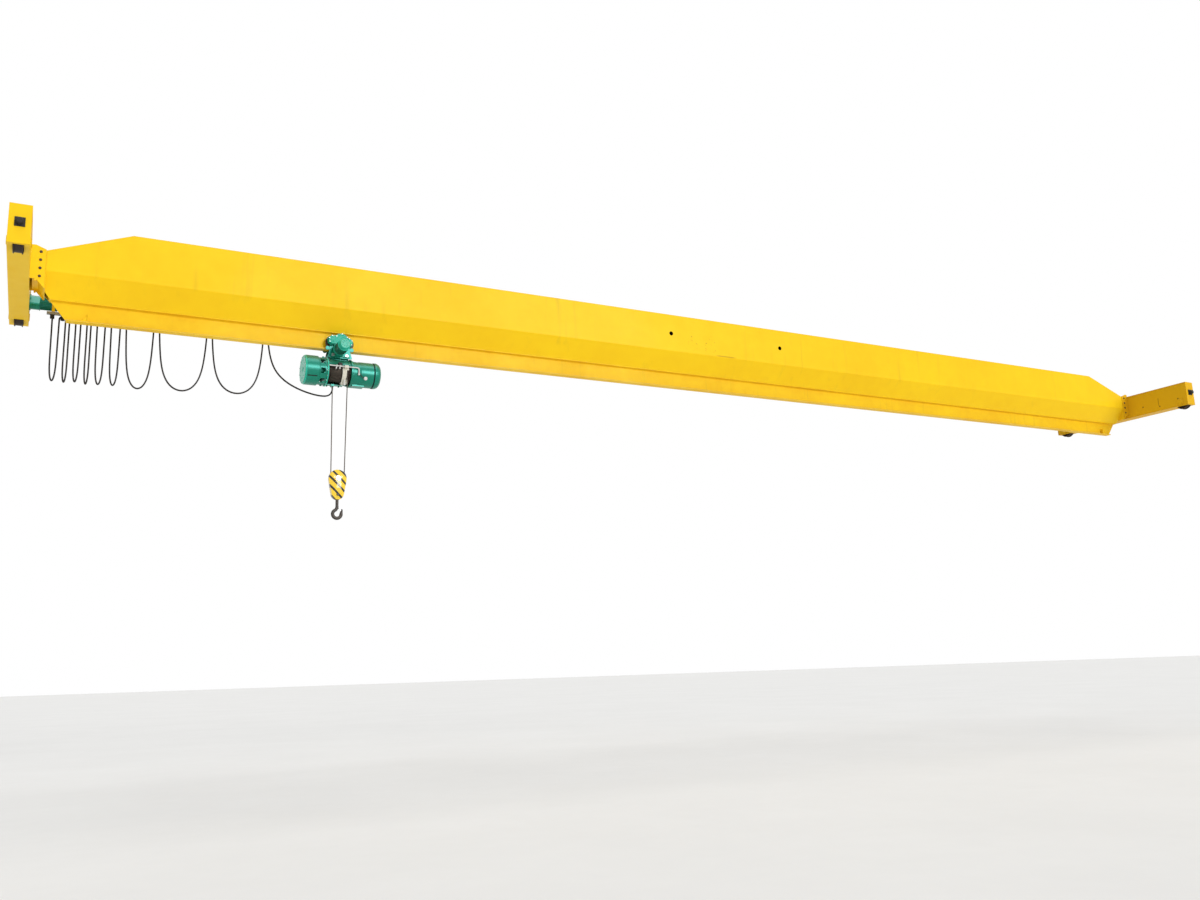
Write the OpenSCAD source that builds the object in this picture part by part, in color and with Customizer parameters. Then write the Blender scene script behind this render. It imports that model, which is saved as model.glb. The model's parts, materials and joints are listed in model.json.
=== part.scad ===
// Overhead bridge crane: one box girder on two end carriages, with a rope hoist on a trolley.
// Millimetres. X runs along the girder with 0 at mid-span, Y is 0 in the girder's middle plane,
// and Z is 0 at the top of the runway rails. The camera of the photograph looks from -Y.

/* [End carriages] */
// Distance between the two runway rails
span = 22500; // [16500:500:28500]
// Width of an end carriage box
carriage_w = 250; // [200:10:300]
// Height of the end carriage's underside above the rail
carriage_low = 50; // [40:5:80]
// Height of the end carriage's top above the rail
carriage_top = 550; // [450:10:650]
// Length of an end carriage beyond its wheel's flange, with room for the wheel
carriage_nose = 25; // [20:1:200]
// Distance between the wheel centres of a carriage
wheel_base = 3000; // [2500:100:3000]
// Plate thickness of the carriage box
carriage_t = 8; // [6:1:12]
// How far the side plates stand inside the edges of the top and bottom plates
web_inset = 8; // [4:1:20]
// Thickness of the cheek plates that hold the girder
cheek_t = 14; // [10:1:20]
// How far the cheeks reach from the carriage towards the girder
cheek_reach = 173; // [140:1:200]
// How far the cheeks rise above the carriage's top
cheek_rise = 50; // [20:1:80]
// Radius of a rubber buffer
buffer_r = 42; // [30:1:60]
// Length of a rubber buffer
buffer_len = 60; // [40:1:120]
// Height of the buffers and of the travel drive above the rail
buffer_z = 320; // [250:5:400]

/* [Girder] */
// Half width over the girder's side plates
half_w = 250; // [200:5:320]
// Height of the girder's top above the rail
top_z = 924; // [800:2:1100]
// Height of the bend between side plate and sloping plate
knee_z = 261; // [200:1:320]
// Top of the rolled track beam
seam_z = -58; // [-80:1:-40]
// Depth of the rolled track beam
beam_h = 280; // [250:10:320]
// Flange width of the rolled track beam
beam_b = 124; // [110:2:140]
// Flange thickness of the track beam
beam_t = 14; // [10:1:20]
// Web thickness of the track beam
beam_web = 10; // [8:1:14]
// Radius between web and flange of the track beam
root_r = 11; // [6:1:14]
// Thickness of the folded side plates
skin = 6; // [5:1:10]
// Radius inside the folded bend
bend_r = 20; // [8:1:30]
// Thickness of the top plate
lid = 10; // [6:1:16]
// Distance from the girder's end to the carriage
joint_len = 185; // [150:5:260]
// Length of the falling part of the top at each end
taper_len = 1035; // [800:5:1400]
// How far the top falls at the end
taper_drop = 379; // [300:1:420]
// Length of the rising part of the bottom at each end
chamfer_len = 280; // [200:5:400]
// How far the bottom has risen at the girder's end
chamfer_rise = 350; // [250:5:400]
// Thickness of the plate that closes the girder's end
end_plate = 10; // [6:1:16]
// Distance of each lifting hole from mid-span
lift_hole_x = 1190; // [1000:10:1500]
// Depth of a lifting hole below the girder's top
lift_hole_drop = 345; // [250:5:450]
// Radius of a lifting hole
lift_hole_r = 37; // [25:1:45]
// Number of inner cross plates in the girder
cross_plates = 13; // [7:2:21]

/* [Wheels] */
// Tread radius of a bridge wheel
wheel_r = 135; // [120:5:160]
// Height of a bridge wheel's flange
wheel_rim = 15; // [12:1:20]
// Width of the tread between the flanges
tread_w = 76; // [60:2:90]
// Thickness of a flange at its root
rim_t = 19; // [14:1:24]
// Axle radius of a bridge wheel
wheel_axle_r = 30; // [25:1:40]
// Radius of the bearing housings
bearing_r = 80; // [60:1:95]

/* [Trolley] */
// Position of the trolley's middle
trolley_x = -6990; // [-9000:10:9000]
// Tread radius of a trolley wheel
roller_r = 90; // [60:1:100]
// Height of a trolley wheel's flange
roller_rim = 14; // [10:1:20]
// Half distance between trolley wheels
roller_gap = 110; // [106:1:140]
// Teeth on the rim of a driven trolley wheel
roller_teeth = 32; // [24:1:48]
// Gap between the track's flange and the trolley's side plates
plate_gap = 22; // [15:1:40]
// Thickness of the trolley's side plates
plate_t = 12; // [8:1:20]
// Radius of the stub axles
stub_r = 20; // [16:1:30]
// Distance of the tie bolts below the track
tie_drop = 92; // [70:1:120]
// Half distance between the tie bolts
tie_x = 105; // [80:1:140]
// Radius of the tie bolts
tie_r = 15; // [10:1:20]
// Thickness of the travel gearbox
travel_t = 84; // [60:2:110]
// Radius of the travel motor
travel_r = 92; // [70:1:110]
// Length of the travel motor with its cap
travel_len = 290; // [180:2:360]

/* [Hoist] */
// Distance of the hoist's axis below the tie bolts
hoist_drop = 242; // [220:2:300]
// Outer radius of the drum casing
casing_r = 190; // [180:2:210]
// Wall of the drum casing
casing_t = 7; // [5:1:10]
// Length of the drum casing to the left of the trolley's middle
casing_left = 180; // [150:5:400]
// Length of the drum casing to the right of the trolley's middle
casing_right = 160; // [150:5:400]
// Thickness of the casing's flanges
flange_t = 20; // [12:1:30]
// How far the motor is wider than the casing
motor_extra = 32; // [10:1:50]
// Length of the motor's body
motor_len = 190; // [150:5:400]
// Length of the open neck between motor and casing
neck_len = 110; // [60:5:160]
// Thickness of the motor's end cover
cover_t = 22; // [12:1:40]
// Length of the hoist's gearbox
gear_len = 450; // [350:5:600]
// Radius of the rope drum under the rope
drum_r = 136; // [110:2:150]
// Radius of the drum's shaft
shaft_r = 40; // [30:1:50]
// Width of the rope guide
guide_w = 92; // [60:2:120]
// Radius of the rod that steers the limit switch
rod_r = 9; // [6:1:14]
// Length of the control box
box_len = 300; // [200:10:400]
// Height of the control box
box_h = 250; // [200:10:350]

/* [Hook block] */
// Distance of the hook's axis from the trolley's middle
hook_shift = 20; // [0:1:60]
// How far the block's sheave hangs below the hoist
hook_drop = 1613; // [600:1:4500]
// Radius to the rope's middle on the sheave
sheave_pitch = 98; // [80:1:120]
// Rope radius
rope_r = 7.5; // [5:0.5:10]
// Radius of the block's round upper part
block_r = 131; // [120:1:150]
// Radius of the block's round lower part
block_foot_r = 90; // [70:1:110]
// Distance between the centres of the two round parts
block_drop = 225; // [180:5:300]
// Radius of the hook's shank
shank_r = 22; // [16:1:30]
// Radius of the hook's bowl to the middle of the metal
bowl_r = 62; // [50:1:80]

/* [Trailing cable] */
// Distance from the girder's side plate to the cable rail
rail_out = 350; // [250:10:450]
// Top of the cable rail above the runway rail
rail_z = -30; // [-100:5:100]
// Side of the cable rail's square section
rail_side = 40; // [30:1:60]
// Radius of the trailing cable
cable_r = 9; // [5:0.5:12]
// Radius of a carrier's saddle
saddle_r = 28; // [20:1:50]
// Depth of a full loop of the cable
loop_depth = 890; // [500:10:1200]
// Distance between parked carriers
park_step = 130; // [100:5:200]

/* [Hidden] */
$fn = 48;
// Clearances: running fit of a bore, rolling gap under a wheel, room round moving parts
bore_gap = 0.05;
seat_gap = 0.3;
room = 5;
over = 1;

face_x = span / 2 - carriage_w / 2;
rail_x = span / 2;
back_x = face_x + carriage_w;
wheel_y = wheel_base / 2;
wheel_flange_r = wheel_r + wheel_rim;
carriage_half = wheel_y + wheel_flange_r + carriage_nose;
opening_y = wheel_flange_r - carriage_low / 2 + room;
trough_half = face_x - joint_len;
taper_x = trough_half - taper_len;
chamfer_x = trough_half - chamfer_len;
beam_low = seam_z - beam_h;
tread_z = beam_low + beam_t;
end_top = top_z - taper_drop;
end_low = beam_low + chamfer_rise;
lift_z = top_z - lift_hole_drop;
b2 = beam_b / 2;
slope = (knee_z - seam_z) / (half_w - b2);
lean = sqrt(1 + slope * slope);
in_w = half_w - skin;
in_knee = seam_z + slope * (in_w - b2) + skin * lean;
in_foot = b2 + skin * (1 - lean) / slope;

roller_z = tread_z + roller_r + seat_gap;
roller_in = beam_web / 2 + root_r + room + over;
roller_out = b2 + room;
plate_in = b2 + plate_gap;
plate_out = plate_in + plate_t;
roller_end = plate_in - room;
tie_z = beam_low - tie_drop;
hoist_z = tie_z - hoist_drop;
casing_x0 = trolley_x - casing_left;
casing_x1 = trolley_x + casing_right;
neck_x = casing_x0 - flange_t;
motor_x = neck_x - neck_len;
cover_x = motor_x - motor_len;
gear_x = casing_x1 + flange_t;
motor_r = casing_r + motor_extra;
rope_in = drum_r + rope_r + seat_gap;
window_top = hoist_z + casing_r * 0.38;

hook_x = trolley_x + hook_shift;
sheave_z = hoist_z - hook_drop;
fall_x = hook_x + sheave_pitch;
dead_x = hook_x - sheave_pitch;

// Box between two corners
module span_box(x0, x1, y0, y1, z0, z1) {
    translate([x0, y0, z0]) cube([x1 - x0, y1 - y0, z1 - z0]);
}

// Cylinder along X from x0 to x1
module bar_x(x0, x1, y, z, r) {
    translate([x0, y, z]) rotate([90, 0, 90]) cylinder(h = x1 - x0, r = r);
}

// Cylinder along Y from y0 to y1
module bar_y(y0, y1, x, z, r) {
    translate([x, y1, z]) rotate([90, 0, 0]) cylinder(h = y1 - y0, r = r);
}

// Cylinder along Z from z0 to z1
module bar_z(z0, z1, x, y, r) {
    translate([x, y, z0]) cylinder(h = z1 - z0, r = r);
}

// Outline in Y and Z carried along X
module along_x(x0, x1) {
    translate([x0, 0, 0]) rotate([90, 0, 90]) linear_extrude(height = x1 - x0) children();
}

// Outline in X and Z carried along Y
module along_y(y0, y1) {
    translate([0, y1, 0]) rotate([90, 0, 0]) linear_extrude(height = y1 - y0) children();
}

// Half outline of radius and distance, turned about an axis along X
module turned_x(x, y, z) {
    translate([x, y, z]) rotate([0, 90, 0]) rotate_extrude() children();
}

// Half outline of radius and distance, turned about an axis along -Y
module turned_y(x, y, z) {
    translate([x, y, z]) rotate([90, 0, 0]) rotate_extrude() children();
}

// Copies its child to the other end of the girder
module at_end(side) {
    if (side < 0) mirror([1, 0, 0]) children();
    else children();
}

function way(p, q) = (q - p) / norm(q - p);
function half_angle(a, p, b) = acos(way(p, a) * way(p, b)) / 2;
function bend_ends(a, p, b, r) = r == 0 ? [p] :
    let (d = r / tan(half_angle(a, p, b))) [p + way(p, a) * d, p + way(p, b) * d];
function bend_centre(a, p, b, r) = let (m = way(p, a) + way(p, b))
    p + m / norm(m) * r / sin(half_angle(a, p, b));

// Outline whose corners are bent to their own radii, where 0 leaves one sharp
module rounded(points, radii) {
    n = len(points);
    polygon([for (i = [0:n - 1])
        each bend_ends(points[(i + n - 1) % n], points[i], points[(i + 1) % n], radii[i])]);
    for (i = [0:n - 1]) if (radii[i] > 0)
        translate(bend_centre(points[(i + n - 1) % n], points[i], points[(i + 1) % n], radii[i]))
            circle(r = radii[i]);
}

// The four points where a strap round two discs leaves them
function strap(a, ra, b, rb) =
    let (d = norm(b - a), u = (b - a) / d, n = [-u[1], u[0]], s = (ra - rb) / d,
        c = sqrt(1 - s * s))
    [a + ra * (s * u + c * n), b + rb * (s * u + c * n), b + rb * (s * u - c * n),
        a + ra * (s * u - c * n)];

// Two discs with the strap round them, as one plate across Y
module link_y(y0, y1, a, ra, b, rb) {
    bar_y(y0, y1, a[0], a[1], ra);
    bar_y(y0, y1, b[0], b[1], rb);
    along_y(y0, y1) polygon(strap(a, ra, b, rb));
}

// Side view of the girder under its top plate
side_points = [
    [-trough_half, end_low], [-chamfer_x, beam_low], [chamfer_x, beam_low],
    [trough_half, end_low], [trough_half, end_top - lid], [taper_x, top_z - lid],
    [-taper_x, top_z - lid], [-trough_half, end_top - lid]];

// Folded side plates with inner cross plates and two lifting sleeves
module girder_trough() {
    color("gold")
    difference() {
        union() {
            intersection() {
                along_x(-trough_half, trough_half) trough_section();
                along_y(-half_w - over, half_w + over) polygon(side_points);
            }
            for (i = [0:cross_plates - 1])
                cross_plate((2 * i / (cross_plates - 1) - 1) * (taper_x - skin / 2));
            for (x = [-lift_hole_x, lift_hole_x])
                bar_y(-in_w - over, in_w + over, x, lift_z, lift_hole_r + skin);
        }
        for (x = [-lift_hole_x, lift_hole_x])
            bar_y(-half_w - over, half_w + over, x, lift_z, lift_hole_r);
    }
}

module trough_section() {
    difference() {
        rounded([[-half_w, top_z], [-half_w, knee_z], [-b2, seam_z], [b2, seam_z],
            [half_w, knee_z], [half_w, top_z]], [0, bend_r + skin, 0, 0, bend_r + skin, 0]);
        rounded([[-in_w, top_z + lid], [-in_w, in_knee], [-in_foot, seam_z + skin],
            [in_foot, seam_z + skin], [in_w, in_knee], [in_w, top_z + lid]],
            [0, bend_r, 0, 0, bend_r, 0]);
    }
}

// Cross plate with a round opening, let 1 mm into the side plates
module cross_plate(x) {
    along_x(x - skin / 2, x + skin / 2) difference() {
        polygon([[-in_w - over, top_z - lid], [-in_w - over, in_knee], [-in_foot, seam_z + skin],
            [in_foot, seam_z + skin], [in_w + over, in_knee], [in_w + over, top_z - lid]]);
        translate([0, (top_z + knee_z) / 2]) circle(r = half_w * 0.56);
        translate([0, knee_z * 0.55]) circle(r = half_w * 0.26);
    }
}

module girder_lid() {
    color("gold")
    along_y(-half_w, half_w)
        polygon([[-trough_half, end_top - lid], [-taper_x, top_z - lid], [taper_x, top_z - lid],
            [trough_half, end_top - lid], [trough_half, end_top], [taper_x, top_z],
            [-taper_x, top_z], [-trough_half, end_top]]);
}

// Rolled beam with rounded roots, cut to the girder's side view
module track_beam() {
    color("gold")
    intersection() {
        along_x(-trough_half, trough_half) beam_section();
        along_y(-half_w, half_w) polygon(side_points);
    }
}

module beam_section() {
    translate([-b2, beam_low]) square([beam_b, beam_t]);
    translate([-b2, seam_z - beam_t]) square([beam_b, beam_t]);
    translate([-beam_web / 2, beam_low]) square([beam_web, beam_h]);
    for (sy = [-1, 1]) for (low = [true, false])
        translate([sy * beam_web / 2, low ? tread_z : seam_z - beam_t]) difference() {
            translate([sy > 0 ? -over : -root_r, low ? -over : -root_r])
                square(root_r + over);
            translate([sy * root_r, low ? root_r : -root_r]) circle(r = root_r);
        }
}

nose_x = trough_half + end_plate;
nose_end = face_x - (joint_len - end_plate) / 7;
nose_low = carriage_low + 2 * (carriage_top - carriage_low) / 10;
nose_top = carriage_top - (carriage_top - carriage_low) / 25;
nose_t = 12;
cheek_in = half_w - skin;
cheek_out = cheek_in + cheek_t;

// Closing plate and bolting nose at one end of the girder, open towards the carriage
module nose() {
    bottom = nose_x + (nose_end - nose_x) / 2;
    foot = carriage_low - nose_t;
    span_box(trough_half, nose_x, -half_w, half_w, end_low, end_top);
    difference() {
        along_y(-cheek_in, cheek_in)
            polygon([[nose_x, foot], [bottom, nose_low], [nose_end, nose_low],
                [nose_end, nose_top], [nose_x, nose_top]]);
        along_y(-cheek_in + nose_t, cheek_in - nose_t)
            polygon([[nose_x, foot + nose_t], [bottom, nose_low + nose_t],
                [nose_end + over, nose_low + nose_t], [nose_end + over, nose_top - nose_t],
                [nose_x, nose_top - nose_t]]);
    }
    for (k = [1, 2]) {
        z = nose_low + (nose_top - nose_low) * k / 3;
        span_box(nose_x, nose_end - nose_t, -cheek_in + nose_t, cheek_in - nose_t,
            z - skin / 2, z + skin / 2);
    }
}

module left_nose() { color("gold") at_end(-1) nose(); }
module right_nose() { color("gold") at_end(1) nose(); }

// End carriage: side plates between wider top and bottom plates, with cheeks for the girder
module carriage() {
    web0 = face_x + web_inset;
    web1 = back_x - web_inset;
    difference() {
        union() {
            span_box(face_x, back_x, -carriage_half, carriage_half,
                carriage_top - carriage_t, carriage_top);
            span_box(face_x, back_x, -carriage_half, carriage_half,
                carriage_low, carriage_low + carriage_t);
            for (x = [web0, web1 - carriage_t])
                span_box(x, x + carriage_t, -carriage_half, carriage_half,
                    carriage_low, carriage_top);
            for (s = [-1, 1]) {
                y = s * (carriage_half - end_plate / 2);
                span_box(face_x, back_x, y - end_plate / 2, y + end_plate / 2,
                    carriage_low, carriage_top);
                stiffener(s * (wheel_y - wheel_flange_r - 4 * carriage_t));
                stiffener(s * cheek_in);
            }
        }
        for (y = [-wheel_y, wheel_y]) {
            span_box(rail_x - tread_w / 2 - rim_t - room, rail_x + tread_w / 2 + rim_t + room,
                y - opening_y, y + opening_y, carriage_low - over, carriage_low + carriage_t + over);
            bar_x(face_x - over, back_x + over, y, wheel_r, bearing_r * 0.75 + seat_gap);
        }
    }
    cheek(-cheek_out, -cheek_in);
    cheek(cheek_in, cheek_out);
}

// Inner cross plate of the carriage, with a hand hole
module stiffener(y) {
    difference() {
        span_box(face_x + web_inset, back_x - web_inset, y - carriage_t / 2, y + carriage_t / 2,
            carriage_low, carriage_top);
        bar_y(y - carriage_t, y + carriage_t, rail_x, (carriage_low + carriage_top) / 2,
            carriage_w / 5);
    }
}

// Cheek plate that holds the girder's nose, with a rounded upper corner at the carriage
module cheek(y0, y1) {
    tip = face_x - cheek_reach;
    web0 = face_x + web_inset;
    chin = carriage_low + (carriage_top - carriage_low) * 0.16;
    along_y(y0, y1)
        rounded([[web0, carriage_top + cheek_rise], [face_x - cheek_rise, carriage_top + cheek_rise],
            [tip, carriage_top], [tip, carriage_low - cheek_rise + web_inset],
            [face_x - 2 * cheek_reach / 5, chin], [web0, chin]],
            [0, cheek_rise / 2, cheek_t / 2, 0, cheek_t, 0]);
}

module left_carriage() { color("gold") at_end(-1) carriage(); }
module right_carriage() { color("gold") at_end(1) carriage(); }

bearing_t = 18;

// Turned bearing housings on both sides of each wheel, with a spigot in the side plate
module bearings() {
    for (y = [-wheel_y, wheel_y]) {
        translate([face_x + web_inset, 0, 0]) mirror([1, 0, 0]) housing(y);
        translate([back_x - web_inset, 0, 0]) housing(y);
    }
}

module housing(y) {
    bore = wheel_axle_r + bore_gap;
    lip_r = min(bearing_r, wheel_r - carriage_low - carriage_t - seat_gap);
    turned_x(0, y, wheel_r)
        polygon([[bore, -bearing_t - carriage_t], [bearing_r * 0.75, -bearing_t - carriage_t],
            [bearing_r * 0.75, 0], [lip_r, 0], [lip_r, bearing_t / 2],
            [bearing_r * 0.72, bearing_t * 0.65], [bearing_r * 0.66, bearing_t],
            [0, bearing_t], [0, bearing_t * 0.6], [bore, bearing_t * 0.6]]);
}

module left_bearings() { color("goldenrod") at_end(-1) bearings(); }
module right_bearings() { color("goldenrod") at_end(1) bearings(); }

// Double-flanged rail wheel, dished between hub and rim, on its turning axle
module bridge_wheel(y) {
    axle = carriage_w / 2 - web_inset + bearing_t * 0.6 - over;
    half = tread_w / 2;
    hub = wheel_axle_r * 1.9;
    dish = tread_w / 4;
    difference() {
        turned_x(rail_x, y, wheel_r)
            polygon([[0, -axle], [wheel_axle_r, -axle], [wheel_axle_r, -half - rim_t],
                [hub, -half - rim_t], [hub, -dish], [wheel_r - rim_t, -dish],
                [wheel_r - rim_t / 2, -half - rim_t], [wheel_flange_r - 6, -half - rim_t],
                [wheel_flange_r, -half - rim_t + 6], [wheel_flange_r, -half - 6],
                [wheel_r, -half], [wheel_r, half],
                [wheel_flange_r, half + 6], [wheel_flange_r, half + rim_t - 6],
                [wheel_flange_r - 6, half + rim_t], [wheel_r - rim_t / 2, half + rim_t],
                [wheel_r - rim_t, dish], [hub, dish], [hub, half + rim_t],
                [wheel_axle_r, half + rim_t], [wheel_axle_r, axle], [0, axle]]);
        for (a = [0:60:300])
            translate([rail_x, y, wheel_r]) rotate([a, 0, 0])
                bar_x(-half, half, 0, (hub + wheel_r - rim_t) / 2, rim_t * 0.7);
    }
}

module left_near_wheel() { color("dimgray") at_end(-1) bridge_wheel(-wheel_y); }
module left_far_wheel() { color("dimgray") at_end(-1) bridge_wheel(wheel_y); }
module right_near_wheel() { color("dimgray") at_end(1) bridge_wheel(-wheel_y); }
module right_far_wheel() { color("dimgray") at_end(1) bridge_wheel(wheel_y); }

// Rubber buffers on square plates at the carriage's two ends
module buffers() {
    for (s = [-1, 1]) {
        y = s * (carriage_half + end_plate / 2);
        span_box(rail_x - buffer_r * 1.4, rail_x + buffer_r * 1.4, y - end_plate / 2,
            y + end_plate / 2, buffer_z - buffer_r * 1.4, buffer_z + buffer_r * 1.4);
        translate([rail_x, s * (carriage_half + end_plate), buffer_z])
            rotate([s * -90, 0, 0]) rotate_extrude()
                polygon([[0, 0], [buffer_r, 0], [buffer_r, buffer_len * 0.14],
                    [buffer_r * 0.88, buffer_len * 0.3], [buffer_r, buffer_len * 0.46],
                    [buffer_r, buffer_len * 0.76], [buffer_r * 0.86, buffer_len * 0.93],
                    [buffer_r * 0.7, buffer_len], [0, buffer_len]]);
    }
}

module left_buffers() { color("wheat") at_end(-1) buffers(); }
module right_buffers() { color("wheat") at_end(1) buffers(); }

drive_r = 95;
drive_len = 440;

// Travel gear motor on the far half of a carriage: flange, lobed housing, ribbed motor, cap
module drive() {
    z = buffer_z + 50;
    x = face_x + web_inset;
    housing_x = x - drive_len * 0.3;
    motor_end = x - drive_len * 0.88;
    bar_x(x - flange_t, x, wheel_y, z, drive_r * 1.25);
    bar_x(housing_x, x, wheel_y, z, drive_r * 1.08);
    bar_x(housing_x, x, wheel_y - drive_r, z - drive_r * 0.75, drive_r * 0.62);
    along_x(housing_x, x) polygon(strap([wheel_y, z], drive_r * 1.08,
        [wheel_y - drive_r, z - drive_r * 0.75], drive_r * 0.62));
    bar_x(housing_x - flange_t / 2, housing_x, wheel_y, z, drive_r * 1.16);
    bar_x(motor_end, housing_x, wheel_y, z, drive_r * 0.88);
    for (a = [0:15:345])
        translate([0, wheel_y, z]) rotate([a, 0, 0])
            span_box(motor_end + flange_t, housing_x - flange_t / 2, -1.5, 1.5,
                drive_r * 0.8, drive_r);
    turned_x(motor_end + over, wheel_y, z) mirror([0, 1])
        polygon([[0, 0], [drive_r, 0], [drive_r, drive_len * 0.08],
            [drive_r * 0.86, drive_len * 0.12], [0, drive_len * 0.12]]);
    span_box(motor_end + 2 * flange_t, motor_end + 7 * flange_t, wheel_y - drive_r / 2,
        wheel_y + drive_r / 2, z + drive_r * 0.7, z + drive_r * 1.4);
}

module left_drive() { color("seagreen") at_end(-1) drive(); }
module right_drive() { color("seagreen") at_end(1) drive(); }

stop_x = trough_half - 540;
stop_h = 110;

// Angle stops with a rib that end the trolley's way along the track
module track_stops() {
    color("gold")
    for (sx = [-1, 1]) for (sy = [-1, 1]) {
        ya = sy > 0 ? beam_web / 2 + root_r : -b2;
        yb = sy > 0 ? b2 : -beam_web / 2 - root_r;
        at_end(sx) {
            along_y(ya, yb)
                polygon([[stop_x, tread_z], [stop_x + 0.8 * stop_h, tread_z],
                    [stop_x + 0.8 * stop_h, tread_z + end_plate], [stop_x + end_plate,
                    tread_z + end_plate], [stop_x + end_plate, tread_z + stop_h],
                    [stop_x, tread_z + stop_h]]);
            along_y((ya + yb) / 2 - skin / 2, (ya + yb) / 2 + skin / 2)
                polygon([[stop_x + over, tread_z + over], [stop_x + 0.7 * stop_h, tread_z + over],
                    [stop_x + 0.7 * stop_h, tread_z + end_plate + over],
                    [stop_x + end_plate + over, tread_z + 0.9 * stop_h],
                    [stop_x + over, tread_z + 0.9 * stop_h]]);
        }
    }
}

rail_y = half_w + rail_out;
rail_half = trough_half - rail_side;
rail_t = 3;
rail_slot = rail_side * 0.18;
r2 = rail_side / 2;

// Open C rail on the far side that carries the trailing cable
module cable_rail() {
    color("silver")
    along_x(-rail_half, rail_half) difference() {
        translate([rail_y - r2, rail_z - rail_side]) square(rail_side);
        translate([rail_y - r2 + rail_t, rail_z - rail_side + rail_t])
            square(rail_side - 2 * rail_t);
        translate([rail_y - rail_slot, rail_z - rail_side - over])
            square([2 * rail_slot, rail_t + 2 * over]);
    }
}

arm_count = 9;
arm_w = 40;
arm_t = 10;

// Bent arms with foot plates, from the far side plate down to the cable rail
module rail_arms() {
    top = knee_z + arm_w;
    color("gold")
    for (i = [0:arm_count - 1]) {
        x = (2 * i / (arm_count - 1) - 1) * (rail_half - 2 * arm_w);
        along_x(x - arm_w / 2, x + arm_w / 2) difference() {
            rounded([[half_w, top], [half_w, top - arm_t], [rail_y - arm_t, top - arm_t],
                [rail_y - arm_t, rail_z], [rail_y, rail_z], [rail_y, top]],
                [0, 0, 0, 0, 0, 2 * arm_t]);
            translate([rail_y - 4 * arm_t, top - 2 * arm_t]) square(over);
        }
        along_x(x - arm_t / 4, x + arm_t / 4)
            polygon([[half_w, top - 3 * arm_w], [rail_y - over, top - over], [half_w, top - over]]);
        span_box(x - arm_w, x + arm_w, half_w, half_w + arm_t / 2, top - 3 * arm_w - arm_t,
            top + arm_t);
    }
}

parked = [0, 1, 2, 3.1, 4.1, 5.5, 7, 10.4, 16, 22.2];
holds = [for (k = parked) -trough_half + 0.85 * park_step + k * park_step];
saddle_z = rail_z - rail_side - 2 * saddle_r;
carrier_w = 28;

// Terminal block at the fixed end, then small carriers whose saddles hold the cable's loops
module cable_carriers() {
    color("darkslategray") {
        span_box(holds[0] - carrier_w, holds[0] + carrier_w, rail_y - r2, rail_y + r2,
            saddle_z, rail_z - rail_side);
        for (i = [1:len(holds) - 1]) translate([holds[i], rail_y, 0]) carrier();
    }
}

// Slider in the rail, neck through its slot, hanging plate, and half-round saddle
module carrier() {
    hang = r2 - 2;
    neck = rail_slot - 3;
    span_box(-carrier_w / 2, carrier_w / 2, -r2 + rail_t + 2, r2 - rail_t - 2,
        rail_z - rail_side + rail_t + 1, rail_z - 2 * rail_t);
    along_x(-carrier_w / 2, carrier_w / 2)
        polygon([[-neck, rail_z - rail_side + rail_t + 2], [-neck, rail_z - rail_side - 10],
            [hang - 4, rail_z - rail_side - 10], [hang - 4, saddle_z - saddle_r / 2],
            [hang, saddle_z - saddle_r / 2], [hang, rail_z - rail_side - 6],
            [neck, rail_z - rail_side - 6], [neck, rail_z - rail_side + rail_t + 2]]);
    difference() {
        bar_y(-cable_r * 1.6, hang - 3, 0, saddle_z, saddle_r);
        span_box(-2 * saddle_r, 2 * saddle_r, -3 * cable_r, hang - 4, saddle_z - 2 * saddle_r,
            saddle_z - saddle_r / 2);
    }
}

cable_sides = 8;
wrap_r = (saddle_r + cable_r + seat_gap) / cos(18);
box_x = trolley_x - 10;
box_y = casing_r + 15;
box_d = 125;
box_z = hoist_z - box_h * 0.52;
gland_h = 24;
cable_end = [box_x, box_y + box_d / 2, box_z - gland_h - seat_gap];

// Point at share t of a loop that leaves a and reaches b going straight up
function loop_at(a, b, depth, t) = [
    a[0] + (b[0] - a[0]) * (t - sin(360 * t) * 0.10) - 22 * cos(180 * t) * pow(sin(180 * t), 2),
    a[1] + (b[1] - a[1]) * t * t * (3 - 2 * t),
    a[2] + (b[2] - a[2]) * t - depth * pow(sin(180 * t), 0.75)];
function over_saddle(x) = [for (a = [180:-36:0])
    [x + wrap_r * cos(a), rail_y, saddle_z + wrap_r * sin(a)]];
function hang(a, b, depth) = [for (k = [1:11]) loop_at(a, b, depth, k / 12)];

start = [holds[0], rail_y, saddle_z - seat_gap];
depths = [for (i = [0:len(holds) - 1])
    loop_depth * (i < 7 ? 1 + 0.012 * sin(137 * i) : i == 7 ? 0.985 : i == 8 ? 0.95 : 0.42)];
saddled = [for (i = [1:len(holds) - 1])
    each concat(hang(i == 1 ? start : [holds[i - 1] + wrap_r, rail_y, saddle_z],
        [holds[i] - wrap_r, rail_y, saddle_z], depths[i - 1]), over_saddle(holds[i]))];
last_hang = hang([holds[len(holds) - 1] + wrap_r, rail_y, saddle_z],
    cable_end - [0, 0, 40], depths[len(holds) - 1]);
path = concat([start], saddled, last_hang, [cable_end - [0, 0, 40], cable_end]);

function unit(v) = v / norm(v);
function tangent(i) = i == 0 || i == len(path) - 1 ? [0, 0, i == 0 ? -1 : 1]
    : unit(path[i + 1] - path[i - 1]);
function ring(i) = let (t = tangent(i), s = unit(cross(t, [0, 1, 0])), u = cross(t, s))
    [for (k = [0:cable_sides - 1]) path[i]
        + cable_r * (cos(360 * k / cable_sides) * s + sin(360 * k / cable_sides) * u)];

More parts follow.
